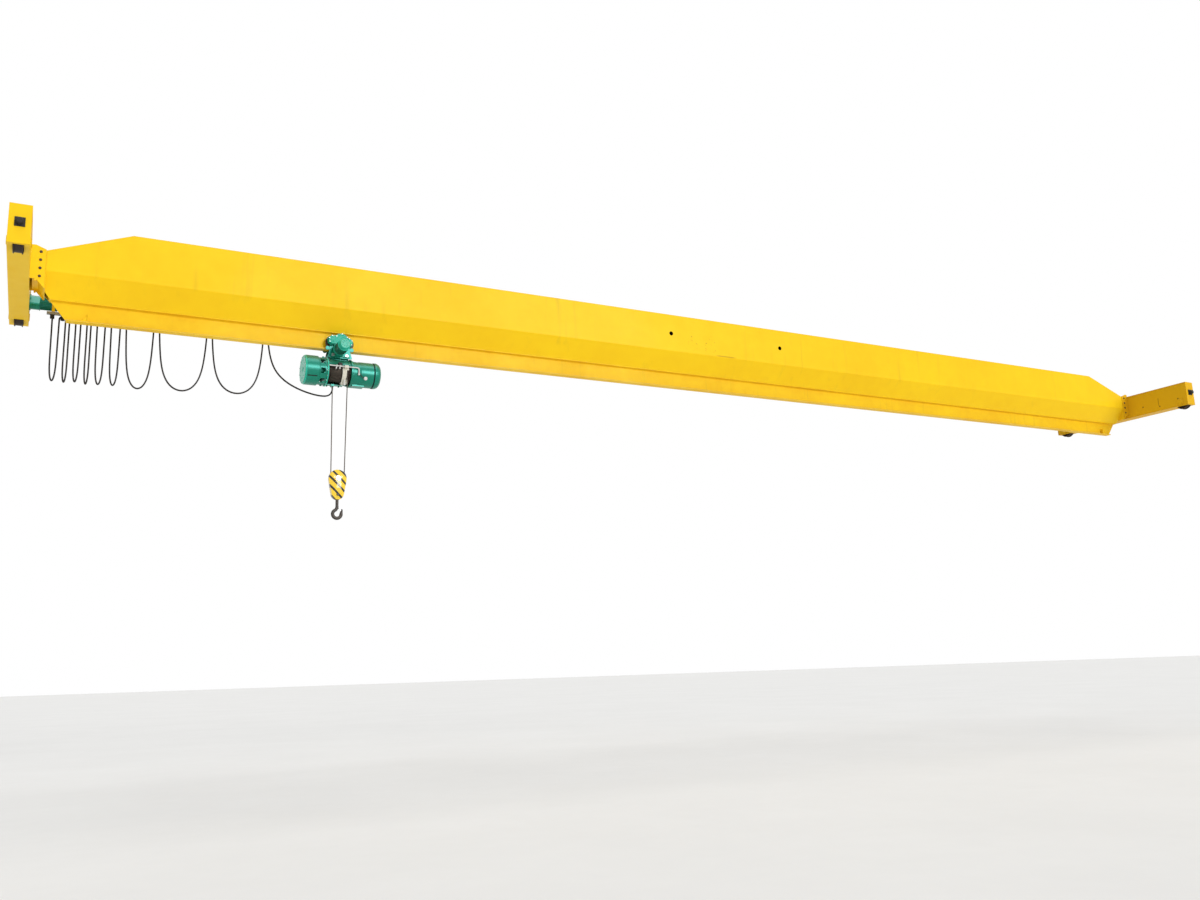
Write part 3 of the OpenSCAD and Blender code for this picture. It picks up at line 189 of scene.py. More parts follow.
# %% [markdown]
# Slow change: no coat of paint is one colour over 22 m. It drifts in broad clouds, with finer
# mottling inside them. A gradient could do it, but would look like shade. Two noises of different
# size, added, give both.

# %% Slow colour change
tree, given, made = new_group(
    "slow change", {"Colour": WHITE, "Deeper colour": WHITE, "Scale": 1.0, "Amount": 0.5},
    {"Colour": COLOUR, "Cloud": NUMBER})
broad = noise(tree, given["Scale"], detail=3.0)
fine = noise(tree, times(tree, given["Scale"], 9.0), detail=5.0)
cloud = calc(tree, "ADD", times(tree, broad, 0.65), times(tree, fine, 0.35))
spread = ramp(tree, cloud, 0.35, 0.65)
amount = times(tree, spread, given["Amount"])
tree.links.new(mix(tree, amount, given["Colour"], given["Deeper colour"]), made["Colour"])
tree.links.new(spread, made["Cloud"])
slow_change = tree
print("slow change has", len(tree.nodes), "nodes")

# %% [markdown]
# Edges: sprayed plate has soft corners that catch the light, and paint wears through there first.
# A real bevel on every CAD part would be heavy, so the shader rounds the corners, and finds them
# where its rounded direction and the flat one differ.

# %% Rounded and worn edges
tree, given, made = new_group(
    "edges", {"Width": 0.004, "Wear": 0.5}, {"Normal": ARROW, "Mask": NUMBER})
soft = add(tree, "Bevel", {"Radius": given["Width"]}, samples=6).outputs[0]
flat = add(tree, "NewGeometry").outputs["True Normal"]
same = add(tree, "VectorMath", {0: soft, 1: flat}, operation="DOT_PRODUCT").outputs["Value"]
corner = ramp(tree, same, 0.97, 0.80)
patch = ramp(tree, noise(tree, 12.0, detail=6.0), 0.48, 0.62)
tree.links.new(soft, made["Normal"])
tree.links.new(times(tree, corner, patch, given["Wear"]), made["Mask"])
edges = tree
print("edges has", len(tree.nodes), "nodes")

# %% [markdown]
# Grain: enamel has orange peel, castings are rough, rubber has a skin. Moving the surface itself
# would take millions of faces, so a bump in the shader tilts the light instead. A second, slow
# bump makes large plates wave a little, as welded sheet does.

# %% Grain
tree, given, made = new_group(
    "grain", {"Scale": 200.0, "Height": 0.2, "Waves": 0.0, "Normal": None}, {"Normal": ARROW})
peel = noise(tree, given["Scale"], detail=2.0)
small = add(tree, "Bump", {"Height": peel, "Strength": given["Height"], "Distance": 0.0008,
                           "Normal": given["Normal"]}).outputs[0]
bend = noise(tree, 1.6, detail=1.0)
large = add(tree, "Bump", {"Height": bend, "Strength": given["Waves"], "Distance": 0.02,
                           "Normal": small}).outputs[0]
tree.links.new(large, made["Normal"])
grain = tree
print("grain has", len(tree.nodes), "nodes")

# %% [markdown]
# Dirt: dust lies on what faces up, and dirty water leaves thin vertical streaks on what stands
# upright. Both could be painted by hand, but the surface's own direction already tells where they
# belong. A noise that is stretched along Z makes the streaks.

# %% Dust and streaks
tree, given, made = new_group(
    "dirt", {"Colour": WHITE, "Dust colour": WHITE, "Streak colour": WHITE, "Dust": 0.5,
             "Streaks": 0.3}, {"Colour": COLOUR, "Mask": NUMBER})
up = add(tree, "SeparateXYZ", {0: add(tree, "NewGeometry").outputs["Normal"]}).outputs[2]
dusty = times(tree, ramp(tree, up, 0.35, 0.9), ramp(tree, noise(tree, 5.0), 0.3, 0.6),
              given["Dust"])
upright = ramp(tree, calc(tree, "ABSOLUTE", up), 0.7, 0.3)
thin = ramp(tree, noise(tree, 7.0, detail=5.0, stretch=(1, 1, 0.06)), 0.56, 0.72)
broken = ramp(tree, noise(tree, 0.7, detail=3.0), 0.42, 0.62)
streaky = times(tree, thin, broken, upright, given["Streaks"])
dirty = mix(tree, streaky, given["Colour"], given["Streak colour"])
tree.links.new(mix(tree, dusty, dirty, given["Dust colour"]), made["Colour"])
tree.links.new(calc(tree, "MAXIMUM", dusty, streaky), made["Mask"])
dirt = tree
print("dirt has", len(tree.nodes), "nodes")

# %% [markdown]
# ## Finishes
# Each finish could be wired by itself. One function builds them all from the groups instead, so
# that dust and wear agree from piece to piece, and only what differs is given by name.

# %% The function for all finishes
DUST_COLOUR, STREAK_COLOUR = (0.30, 0.26, 0.20, 1), (0.10, 0.06, 0.03, 1)
UNDER_PAINT = (0.10, 0.08, 0.07, 1)
ROUGHER_BY, COAT_ROUGHNESS = 0.35, 0.06


def deeper_tone(colour, part=0.72):
    """The colour with each channel multiplied by the part."""
    return tuple(channel * part for channel in colour[:3]) + (1,)


def finish(name, colour, deeper=None, scale=1.0, change=0.5, rough=(0.3, 0.45), metal=0.0,
           edge=0.004, wear=0.4, bare=UNDER_PAINT, peel=220.0, height=0.15, waves=0.0,
           dust=0.4, streaks=0.2, coat=0.0, gloss=0.2, tint=WHITE, extra=None):
    """A material mixed from slow change, dirt, worn edges and grain.

    The clouds have a scale and an amount of change, and in them roughness goes from the first
    value of rough to the second. Worn corners have a width (edge), a strength (wear) and a bare
    colour. peel and height are the grain, gloss and tint the reflection. extra is a function that
    may repaint a part: it takes and returns a colour and a roughness.
    """
    material = bpy.data.materials.new(name)
    material.use_nodes = True
    tree = material.node_tree
    shader = tree.nodes["Principled BSDF"]
    paint = use(tree, slow_change, {"Colour": (*colour[:3], 1),
                                    "Deeper colour": deeper or deeper_tone(colour),
                                    "Scale": scale, "Amount": change})
    shade, roughness = paint["Colour"], ramp(tree, paint["Cloud"], 0.0, 1.0, *rough)
    if extra:
        shade, roughness = extra(tree, shade, roughness)
    dirty = use(tree, dirt, {"Colour": shade, "Dust colour": DUST_COLOUR,
                             "Streak colour": STREAK_COLOUR, "Dust": dust, "Streaks": streaks})
    worn = use(tree, edges, {"Width": edge, "Wear": wear})
    bumps = use(tree, grain, {"Scale": peel, "Height": height, "Waves": waves,
                              "Normal": worn["Normal"]})
    rougher = times(tree, calc(tree, "MAXIMUM", dirty["Mask"], worn["Mask"]), ROUGHER_BY)
    tree.links.new(mix(tree, worn["Mask"], dirty["Colour"], bare), shader.inputs["Base Color"])
    tree.links.new(calc(tree, "ADD", roughness, rougher), shader.inputs["Roughness"])
    tree.links.new(bumps["Normal"], shader.inputs["Normal"])
    for socket, value in (("Metallic", metal), ("Specular IOR Level", gloss),
                          ("Specular Tint", tint), ("Coat Weight", coat),
                          ("Coat Roughness", COAT_ROUGHNESS)):
        shader.inputs[socket].default_value = value
    return material


print("a finish is mixed from", len(bpy.data.node_groups), "groups")

# %% [markdown]
# Some paint changes at one place, such as a rubbed patch or a hole. An image mask would need a
# flat map of each plate. A box or a disc on the object's own coordinates needs none, and its soft
# edge is one number.

# %% Masks by place
X, Y, Z = 0, 1, 2


def coordinates(tree):
    """The X, Y and Z of the point of the object that is being coloured."""
    return add(tree, "SeparateXYZ", {0: add(tree, "TexCoord").outputs["Object"]}).outputs


def where(tree, axis, low, high):
    """0 up to low on the axis and 1 past high, rising evenly between; low may be above high."""
    return ramp(tree, coordinates(tree)[axis], low, high)


def within(tree, axis, low, high, soft):
    """1 between low and high on the axis, falling to 0 over the soft distance on both sides."""
    return times(tree, where(tree, axis, low - soft, low), where(tree, axis, high + soft, high))


def distance(tree, one, two):
    """The length of the longest side of a right triangle, from its other two."""
    squares = [times(tree, side, side) for side in (one, two)]
    return calc(tree, "SQRT", calc(tree, "ADD", *squares))


print("masks follow the axes", X, Y, Z)

# %% [markdown]
# Yellow enamel covers the bridge. Handling has rubbed it at mid-span, and the two lifting holes are
# near black inside with painted shade. These marks could be decals, thin pieces laid on the plate.
# They are masks in the material instead, boxes and discs on the object's coordinates, so nothing
# floats.

# %% Bridge enamel
YELLOW, DEEP_YELLOW = (0.95, 0.62, 0.012), (0.86, 0.50, 0.010, 1)
# the hole colour is painted shade: near black inside each lifting hole
SCUFF, HOLE_SHADE = (0.30, 0.13, 0.010, 1), (0.020, 0.013, 0.006, 1)
HOLE_X, HOLE_Z, HOLE_EDGE = 1.19, 0.579, (0.0385, 0.0372)
RUBBED_X, RUBBED_Z = (-0.85, -0.30), (0.36, 0.58)
LINE_X, LINE_Z = (-0.18, 0.10), (0.272, 0.282)
CHIPS_X, CHIPS_Z = (-0.62, 0.08), (0.982, 1.0)
NEAR_WEB = (-0.235, -0.245)
PLATE_ENAMEL = dict(scale=0.5, change=0.6, rough=(0.32, 0.48), waves=0.12, dust=0.55,
                    streaks=0.22, wear=0.35, coat=0.02, gloss=0.07)


def handled(tree, shade, roughness):
    """Rubbed specks at mid-span on the near web, and near-black painted shade inside the lifting
    holes.
    """
    zone = times(tree, within(tree, X, *RUBBED_X, 0.15), within(tree, Z, *RUBBED_Z, 0.08))
    grit = ramp(tree, noise(tree, 16.0, stretch=(1, 1, 1.6)), 0.60, 0.68)
    specks = times(tree, zone, grit)
    line = times(tree, within(tree, X, *LINE_X, 0.10), within(tree, Z, *LINE_Z, 0.008))
    chips = times(tree, within(tree, X, *CHIPS_X, 0.06), within(tree, Z, *CHIPS_Z, 0.012),
                  ramp(tree, noise(tree, 9.0, detail=3.0), 0.56, 0.62))
    rubbed = calc(tree, "MAXIMUM", calc(tree, "MAXIMUM", specks, line), chips)
    shade = mix(tree, times(tree, rubbed, where(tree, Y, *NEAR_WEB), 0.55), shade, SCUFF)
    # painted shade: a near-black disc inside each lifting hole
    place = coordinates(tree)
    sideways = calc(tree, "SUBTRACT", calc(tree, "ABSOLUTE", place[X]), HOLE_X)
    upwards = calc(tree, "SUBTRACT", place[Z], HOLE_Z)
    inside = ramp(tree, distance(tree, sideways, upwards), *HOLE_EDGE)
    return mix(tree, inside, shade, HOLE_SHADE), roughness


enamel = finish("bridge enamel", YELLOW, DEEP_YELLOW, extra=handled, **PLATE_ENAMEL)
print("bridge enamel has", len(enamel.node_tree.nodes), "nodes")

# %% [markdown]
# The right carriage is a darker, browner yellow all over: painted shade, for its inner face that
# looks away from the light. It has dark spots and a run of dirty water, and the trolley's wheels have
# rolled two bright bands on the beam. Both are the enamel above with other values, because the paint
# is the same kind and only its colour, on the carriage with painted shade, and its marks differ.

# %% Carriage and beam enamel
# painted shade: the right carriage's yellow is darker and browner because its inner face looks away
# from the light
SHADED_AMBER, DEEP_SHADED_AMBER = (0.80, 0.46, 0.010), (0.74, 0.40, 0.010, 1)
SPOTS, SPOT_EDGE = [(-0.62, 0.22), (-1.02, 0.15), (-1.46, 0.22)], (0.020, 0.013)
RUN_Y, RUN_Z, INNER_PLATE = (-1.005, -0.995), (0.18, 0.33), (11.16, 11.14)
SPOT_COLOUR, ROLLED_STEEL = (0.06, 0.035, 0.01, 1), (0.35, 0.30, 0.25, 1)
TREAD_LOW, TREAD_HIGH = (-0.330, -0.326), (-0.318, -0.322)


def spotted(tree, shade, roughness):
    """Dark spots of 30 mm and a run of dirty water on the carriage's inner plate."""
    place = coordinates(tree)
    marks = times(tree, within(tree, Y, *RUN_Y, 0.008), within(tree, Z, *RUN_Z, 0.02), 0.6)
    for y, z in SPOTS:
        far = distance(tree, calc(tree, "SUBTRACT", place[Y], y),
                       calc(tree, "SUBTRACT", place[Z], z))
        marks = calc(tree, "MAXIMUM", marks, ramp(tree, far, *SPOT_EDGE))
    marks = times(tree, marks, where(tree, X, *INNER_PLATE), 0.8)
    return mix(tree, marks, shade, SPOT_COLOUR), roughness


def rolled_clean(tree, shade, roughness):
    """Bare bright bands where the trolley's wheels roll on the lower flange."""
    tread = times(tree, where(tree, Z, *TREAD_LOW), where(tree, Z, *TREAD_HIGH), 0.6)
    return mix(tree, tread, shade, ROLLED_STEEL), roughness


# the carriage's darker colour is painted shade; the spots and the run are marks of their own
shaded_carriage_enamel = finish("carriage enamel with painted shade", SHADED_AMBER, DEEP_SHADED_AMBER, extra=spotted, **PLATE_ENAMEL)
BEAM_ENAMEL = PLATE_ENAMEL | dict(scale=0.8, change=0.7, waves=0.08, dust=0.6, streaks=0.2,
                                  wear=0.5)
beam_enamel = finish(
    "beam enamel", YELLOW, (0.84, 0.46, 0.010, 1), extra=rolled_clean, **BEAM_ENAMEL)
print("carriage enamel with painted shade has", len(shaded_carriage_enamel.node_tree.nodes), "nodes")

# %% [markdown]
# The hoist's green is a thick gloss coat over castings, and its end covers are a pale mint. A
# clear coat would give white highlights, but these are turquoise, so the shader's own reflection
# is tinted. Where one casting has both colours, a mask changes the paint at a given coordinate.

# %% Hoist greens
GREEN, DEEP_GREEN = (0.002, 0.185, 0.105), (0.003, 0.115, 0.066, 1)
MINT, DEEP_MINT = (0.022, 0.43, 0.285, 1), (0.020, 0.32, 0.21, 1)
SHEEN, SEAL_BLACK = (0.25, 1.0, 0.9, 1), (0.010, 0.010, 0.010, 1)
SEAL_LEFT, SEAL_RIGHT = (-6.4875, -6.4865), (-6.466, -6.467)
FOOT_Z, FOOT_Y = (-0.864, -0.868), (-0.060, -0.066)
COVER_X, FLANGE_X, CAP_Y = (-7.484, -7.488), (-7.169, -7.171), (-0.396, -0.400)
HOIST_ENAMEL = dict(colour=GREEN, deeper=DEEP_GREEN, scale=2.5, change=0.7, rough=(0.25, 0.33),
                    edge=0.003, peel=140, height=0.03, dust=0.35, streaks=0.15, coat=0.05,
                    gloss=1.0, tint=SHEEN)


def mint_past(axis, low, high):
    """An extra for a finish: mint where the coordinate on the axis is past high."""
    def paint(tree, shade, roughness):
        """Shade x (1 - mask) + mint x mask, where the mask rises from low to high."""
        return mix(tree, where(tree, axis, low, high), shade, MINT), roughness
    return paint


def gearbox_seam(tree, shade, roughness):
    """A dull black seal in the groove before the gearbox's cap, and a mint edge under its foot."""
    seal = times(tree, where(tree, X, *SEAL_LEFT), where(tree, X, *SEAL_RIGHT))
    foot = times(tree, where(tree, Z, *FOOT_Z), where(tree, Y, *FOOT_Y))
    shade = mix(tree, seal, mix(tree, foot, shade, MINT), SEAL_BLACK)
    return shade, ramp(tree, seal, 0.0, 1.0, roughness, 0.9)


green = finish("hoist green", wear=0.35, **HOIST_ENAMEL)
mint = finish(
    "mint casting", MINT, DEEP_MINT, scale=5.0, change=0.7, rough=(0.30, 0.48), edge=0.003,
    wear=0.45, peel=90, height=0.4, dust=0.4, streaks=0.15, coat=0.1, tint=SHEEN)
gearbox_green = finish("gearbox green", extra=gearbox_seam, **HOIST_ENAMEL)
casing_green = finish("casing green", extra=mint_past(X, *FLANGE_X), **HOIST_ENAMEL)
hoist_motor_green = finish(
    "hoist motor green", extra=mint_past(X, *COVER_X), **(HOIST_ENAMEL | dict(streaks=0.2)))
travel_motor_green = finish(
    "travel motor green", (0.012, 0.17, 0.10), scale=4.0, change=0.6, rough=(0.25, 0.42),
    edge=0.002, peel=140, height=0.25, coat=0.1, extra=mint_past(Y, *CAP_Y))
print("four greens share", len(HOIST_ENAMEL), "values")

# %% [markdown]
# The hook block carries warning stripes, black ones that run from upper left to lower right over
# glossy yellow. Strips of black plate could be laid on it, but the real ones are painted, so they
# are part of the finish and not of the shape.

# %% Striped block enamel
STRIPE_PITCH, STRIPE_SHARE, STRIPE_START, STRIPE_SOFT = 0.092, 0.34, 0.02, 0.01
STRIPE_BLACK = (0.012, 0.011, 0.010, 1)


def stripes(tree, shade, roughness):
    """Black where the distance across the stripes, (x + z) / sqrt 2, falls in part of each step."""
    place = coordinates(tree)
    across = times(tree, calc(tree, "ADD", place[X], place[Z]), 1 / sqrt(2))
    uneven = calc(tree, "ADD", across, times(tree, noise(tree, 60.0, detail=2.0), 0.002))
    step = calc(tree, "ADD", calc(tree, "DIVIDE", uneven, STRIPE_PITCH), STRIPE_START)
    black = ramp(tree, calc(tree, "FRACT", step), STRIPE_SHARE + STRIPE_SOFT,
                 STRIPE_SHARE - STRIPE_SOFT)
    return mix(tree, black, shade, STRIPE_BLACK), roughness


block_enamel = finish(
    "striped enamel", (0.93, 0.64, 0.03), (0.85, 0.52, 0.02, 1), scale=6.0, change=0.5,
    rough=(0.12, 0.24), edge=0.003, wear=0.5, dust=0.25, streaks=0.1, coat=0.8, extra=stripes)
print("a stripe is", round(STRIPE_PITCH * STRIPE_SHARE * 1000), "mm wide")

# %% [markdown]
# Wheels, bolts, hook and rope are steels. Each could have nodes of its own. Here each is the same
# recipe with its own colour, roughness and grain, because at this distance those three tell them
# apart. Corners are rubbed by use, and there each shows a bare colour.

# %% Steels
wheel_steel = finish(
    "wheel steel", (0.045, 0.040, 0.036), (0.08, 0.05, 0.035, 1), scale=8.0, change=0.8,
    rough=(0.35, 0.6), metal=0.7, edge=0.002, wear=0.8, bare=(0.45, 0.43, 0.40, 1), peel=120,
    height=0.4, dust=0.3)
bright_steel = finish(
    "bright steel", (0.50, 0.50, 0.49), (0.32, 0.30, 0.28, 1), scale=14.0, change=0.6,
    rough=(0.22, 0.4), metal=0.9, edge=0.0015, wear=0.2, bare=(0.6, 0.6, 0.6, 1), peel=300,
    height=0.15, dust=0.2)
galvanised = finish(
    "galvanised", (0.42, 0.43, 0.43), (0.30, 0.31, 0.32, 1), scale=22.0, change=0.8,
    rough=(0.38, 0.55), metal=0.75, edge=0.002, wear=0.2, bare=(0.3, 0.3, 0.3, 1), peel=60,
    height=0.3, dust=0.4)
forged = finish(
    "forged steel", (0.060, 0.058, 0.055), (0.11, 0.085, 0.07, 1), scale=9.0, change=0.7,
    rough=(0.42, 0.62), metal=0.6, edge=0.003, wear=0.6, bare=(0.4, 0.38, 0.35, 1), peel=70,
    height=0.7, dust=0.2)
rope_steel = finish(
    "rope steel", (0.070, 0.058, 0.048), (0.16, 0.13, 0.10, 1), scale=30.0, change=0.7,
    rough=(0.35, 0.55), metal=0.75, edge=0.0008, wear=0.3, bare=(0.4, 0.38, 0.34, 1), peel=400,
    height=0.4, dust=0.2, streaks=0.0)
dark_bolt = finish(
    "dark bolt", (0.040, 0.036, 0.034), (0.10, 0.05, 0.03, 1), scale=40.0, change=0.7,
    rough=(0.35, 0.55), metal=0.7, edge=0.001, wear=0.6, bare=(0.4, 0.38, 0.36, 1), peel=300,
    height=0.3, dust=0.3)
print("materials so far", len(bpy.data.materials))

# %% [markdown]
# The cable and the buffers are rubber, the rope guide is nylon, and the rod has white paint. Plain
# colours would do from afar, but not close by, so they are the same recipe without metal.

# %% Rubber, nylon and white paint
cable_skin = finish(
    "cable skin", (0.018, 0.017, 0.017), (0.045, 0.040, 0.036, 1), scale=10.0, change=0.6,
    rough=(0.42, 0.6), edge=0.001, wear=0.2, bare=(0.08, 0.075, 0.07, 1), peel=300, height=0.3,
    dust=0.5, streaks=0.1)
rubber = finish(
    "buffer rubber", (0.022, 0.020, 0.019), (0.05, 0.045, 0.04, 1), scale=14.0, change=0.6,
    rough=(0.55, 0.75), edge=0.003, wear=0.3, bare=(0.10, 0.09, 0.08, 1), peel=150, height=0.5,
    dust=0.5)
nylon = finish(
    "guide nylon", (0.80, 0.78, 0.68), (0.58, 0.52, 0.40, 1), scale=12.0, change=0.6,
    rough=(0.35, 0.5), edge=0.002, wear=0.3, bare=(0.2, 0.16, 0.1, 1), peel=200, height=0.25)
white_paint = finish(
    "white paint", (0.72, 0.71, 0.68), (0.50, 0.48, 0.44, 1), scale=18.0, change=0.6,
    rough=(0.3, 0.45), edge=0.002, wear=0.5, peel=200, height=0.2, dust=0.2)
print("materials", len(bpy.data.materials))

# %% [markdown]
# Every node of the CAD model names a material slot. Each could be painted by hand; a table from
# slot to finish does it in one loop, and a second table holds the pieces with a finish of their
# own.

# %% Finishes on the CAD nodes
FINISHES = dict(
    enamel=enamel, green=green, block_enamel=block_enamel, wheel_steel=wheel_steel,
    bright_steel=bright_steel, galvanised=galvanised, forged=forged, cable=cable_skin,
    buffer=rubber, guide=nylon, rope=rope_steel)
# the right carriage and its bearings take the enamel with painted shade
OWN_FINISH = dict(
    track_beam=beam_enamel, travel_gearbox=mint, hoist_motor=hoist_motor_green,
    travel_motor=travel_motor_green, hoist_casing=casing_green, hoist_gearbox=gearbox_green,
    guide_rod=white_paint, right_carriage=shaded_carriage_enamel, right_bearings=shaded_carriage_enamel)
slots = {row["node"]: row["material_slot"] for row in frame["record"]["subparts"]}
for name, node in nodes.items():
    node.data.materials.clear()
    node.data.materials.append(OWN_FINISH.get(name, FINISHES[slots[name]]))
print("slots in use", len(set(slots.values())))

# %% [markdown]
# ## Tools for surfaces
# Every added piece is a grid of points that follows a formula. Modelling by hand with box tools
# would work too, but a formula keeps rope, cable and bolts exactly where the CAD model has them,
# and one number changes them. The first tool closes a stack of rings, and the second one stacks a
# flat outline at several levels.


# %% Stacks of rings
def capped(points):
    """Vertices and faces of a stack of rings (rings x around x 3) with both ends closed.

    Each face joins a point with its neighbour on the same ring and the two above them.
    """
    rings, around = points.shape[:2]
    i, j = np.meshgrid(np.arange(rings - 1), np.arange(around), indexing="ij")
    k = (j + 1) % around
    corners = [i * around + j, i * around + k, (i + 1) * around + k, (i + 1) * around + j]
    faces = np.stack(corners, -1).reshape(-1, 4).tolist()
    first = list(range(around))
    last = list(range((rings - 1) * around, rings * around))
    return points.reshape(-1, 3), faces + [first[::-1], last]


def stacked(outline, levels, place=(0, 0, 0), axis="z"):
    """A flat outline is repeated at each level (distance along the axis, scale of the outline)."""
    outline, levels = np.asarray(outline, float), np.asarray(levels, float)
    flat = outline[None] * levels[:, 1, None, None]
    along = np.broadcast_to(levels[:, :1], flat.shape[:2])
    one, two = flat[..., 0], flat[..., 1]
    order = {"y": (one, along, two), "z": (one, two, along)}[axis]
    return capped(np.stack(order, -1) + np.asarray(place, float))


print("a closed stack of 3 rings of 8 has", len(capped(np.zeros((3, 8, 3)))[1]), "faces")

# %% [markdown]
# Bolts and knobs are round, and castings are boxes with soft corners. A ready-made cube would need
# a bevel on each corner, so these outlines have their round corners from the start.


# %% Outlines
def circle(radius, around=32):
    """Points at equal angles on a circle."""
    angle = np.arange(around) * 2 * pi / around
    return radius * np.stack([np.cos(angle), np.sin(angle)], -1)


def rounded_box(half_a, half_b, radius, steps=5):
    """Outline of a rectangle whose corners are quarter circles."""
    quarter = np.linspace(0, pi / 2, steps)
    angle = np.concatenate([quarter + k * pi / 2 for k in range(4)])
    a = np.repeat([1, -1, -1, 1], steps) * (half_a - radius)
    b = np.repeat([1, 1, -1, -1], steps) * (half_b - radius)
    return np.stack([a + radius * np.cos(angle), b + radius * np.sin(angle)], -1)


print("a rounded box has", len(rounded_box(1, 1, 0.2)), "points")

# %% [markdown]
# A cast or moulded bar is rounded at its ends too. A Bevel modifier could do it, but it would be
# one more step for every piece. Here the outline itself grows smaller near both ends.


# %% Rounded ends and upright bars
def round_ends(low, high, edge, size, steps=4):
    """Levels from low to high whose scale falls as a quarter circle near both ends.

    The quarter circle has the radius edge on an outline that is size from middle to rim.
    """
    quarter = np.linspace(0, pi / 2, steps)
    inset = 1 - edge * (1 - np.sin(quarter)) / size
    start = np.stack([low + edge * (1 - np.cos(quarter)), inset], -1)
    end = np.stack([high - edge * (1 - np.cos(quarter[::-1])), inset[::-1]], -1)
    return np.concatenate([start, end])


def post(half, corner, span, edge, size, at):
    """An upright bar from its half sizes, its corners' radius and its lowest and highest z.

    Its ends are rounded with the radius edge on an outline of that size. at is its x and y.
    """
    return stacked(rounded_box(*half, corner), round_ends(*span, edge, size), (*at, 0))


print("an upright bar has", len(post((1, 1), 0.2, (0, 1), 0.1, 1, (0, 0))[1]), "faces")

# %% [markdown]
# A carried outline makes cable, cord and rims. Blender's curves have a bevel that does the same,
# but it can twist at steep turns, and here the outline must keep its flat side across Y.


# %% An outline carried along a path
def swept(path, outline):
    """At each point of the path the outline stands across it.

    Its first coordinate is laid along the path's direction times Y (the cross product), and its
    second one along the direction times that side, which is mostly Y. The outline is one set of
    points (n x 2), or a set for each point of the path.
    """
    path, outline = np.asarray(path, float), np.asarray(outline, float)
    along = np.gradient(path, axis=0)
    along /= np.linalg.norm(along, axis=1, keepdims=True)
    side = np.cross(along, [0.0, 1.0, 0.0])
    side /= np.linalg.norm(side, axis=1, keepdims=True)
    other = np.cross(along, side)
    return capped(path[:, None] + outline[..., :1] * side[:, None]
                  + outline[..., 1:] * other[:, None])


upright_tube = swept([(0, 0, 0), (0, 0, 1)], circle(1, 8))
print("a carried ring of 8 has", len(upright_tube[1]), "faces")

# %% [markdown]
# Each part of a fitting could be an object of its own, but one object for one real piece is easier
# to find and to move. It stays at the origin, with its place in its mesh, as the CAD nodes have
# it. Where a body of the crane is given, it rides on that body, so that it moves with it.


# %% Joined shapes and finished pieces
def join(*shapes):
    """Several (vertices, faces) as one: later faces count on from the earlier vertices."""
    points, faces, count = [], [], 0
    for vertices, polygons in shapes:
        points.append(vertices)
        faces += [[count + k for k in polygon] for polygon in polygons]
        count += len(vertices)
    return np.concatenate(points), faces


def add_piece(name, shape, material, body=None, sharp=40):
    """A mesh object at the origin, smooth except where faces meet at more than sharp degrees."""
    mesh = bpy.data.meshes.new(name)
    vertices, faces = shape
    mesh.from_pydata(np.asarray(vertices).tolist(), [], faces)
    edit = bmesh.new()
    edit.from_mesh(mesh)
    bmesh.ops.recalc_face_normals(edit, faces=edit.faces)
    edit.to_mesh(mesh)
    edit.free()
    mesh.polygons.foreach_set("use_smooth", np.ones(len(mesh.polygons), bool))
    mesh.set_sharp_from_angle(angle=radians(sharp))
    mesh.materials.append(material)
    piece = in_scene(name, mesh)
    if body:
        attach(piece, body)
    print(name, len(mesh.polygons), "faces")
    return piece


print("two joined tubes have", len(join(upright_tube, upright_tube)[1]), "faces")

# %% [markdown]
# ## Trailing cable
# Loops of cable hang from small carriers in a rail on the far side and feed the hoist. Carriers
# near the fixed end are parked close together, and the last ones stand apart. Even spacing would
# be simpler, but the photograph shows each loop, so their places were read from it. A carrier's
# share is the part of the trolley's travel that it makes: 0 at the fixed end, 1 at the trolley.

# %% Places of the carriers
RAIL_Y, SADDLE_Z, SADDLE_R, CABLE_R = 0.600, -0.126, 0.028, 0.009
SEAT_GAP = 0.0003
WRAP_R = SADDLE_R + CABLE_R + SEAT_GAP
FIRST_HOLD, PARK_STEP = -10.8295, 0.130
PARKED_AT = np.array([0, 1, 2, 3.1, 4.1, 5.5, 7, 10.4, 16, 22.2])
CABLE_END = np.array([-7.0, 0.2675, -0.8263])
turns = np.arange(len(PARKED_AT))
hold_x = FIRST_HOLD + PARK_STEP * PARKED_AT

# %% [markdown]
# The cable is flat, with a few cores side by side. A physical simulation could hang it, but a
# fixed curve is exact, so its loop is a formula: down and up as a power of a sine, with a slight
# lean at both ends.


# %% Outline and curves of the cable
LEAN, BULGE, FALL_POWER = 0.10, 0.022, 0.75


def flat_cable(half_width=0.0135, half_thick=0.0110, lift=0.0025, cores=4, around=40):
    """Outline of a flat cable: a rounded bar whose faces swell as |cos| over each core.

    It is lifted off the path a little, so that its inner face lies on the saddle.
    """
    angle = np.arange(around) * 2 * pi / around
    across = half_width * np.sign(np.sin(angle)) * np.abs(np.sin(angle)) ** 0.6
    swell = 0.88 + 0.12 * np.abs(np.cos(cores * pi / 2 * (across / half_width + 1) - pi / 2))
    thick = half_thick * np.sign(np.cos(angle)) * np.abs(np.cos(angle)) ** 0.5 * swell
    return np.stack([thick + lift, across], -1)


def hanging_loop(start, end, depth, steps=48):
    """A curve whose x leans outward as a sine, and whose depth is a sine to the fall's power."""
    t = (1 - np.cos(np.linspace(0, pi, steps))) / 2
    lean = -np.sin(2 * pi * t) * LEAN
    bulge = -BULGE * np.cos(pi * t) * np.sin(pi * t) ** 2
    x = start[0] + (end[0] - start[0]) * (t + lean) + bulge
    y = start[1] + (end[1] - start[1]) * t * t * (3 - 2 * t)
    z = start[2] + (end[2] - start[2]) * t - depth * np.sin(pi * t) ** FALL_POWER
    return np.stack([x, y, z], -1)


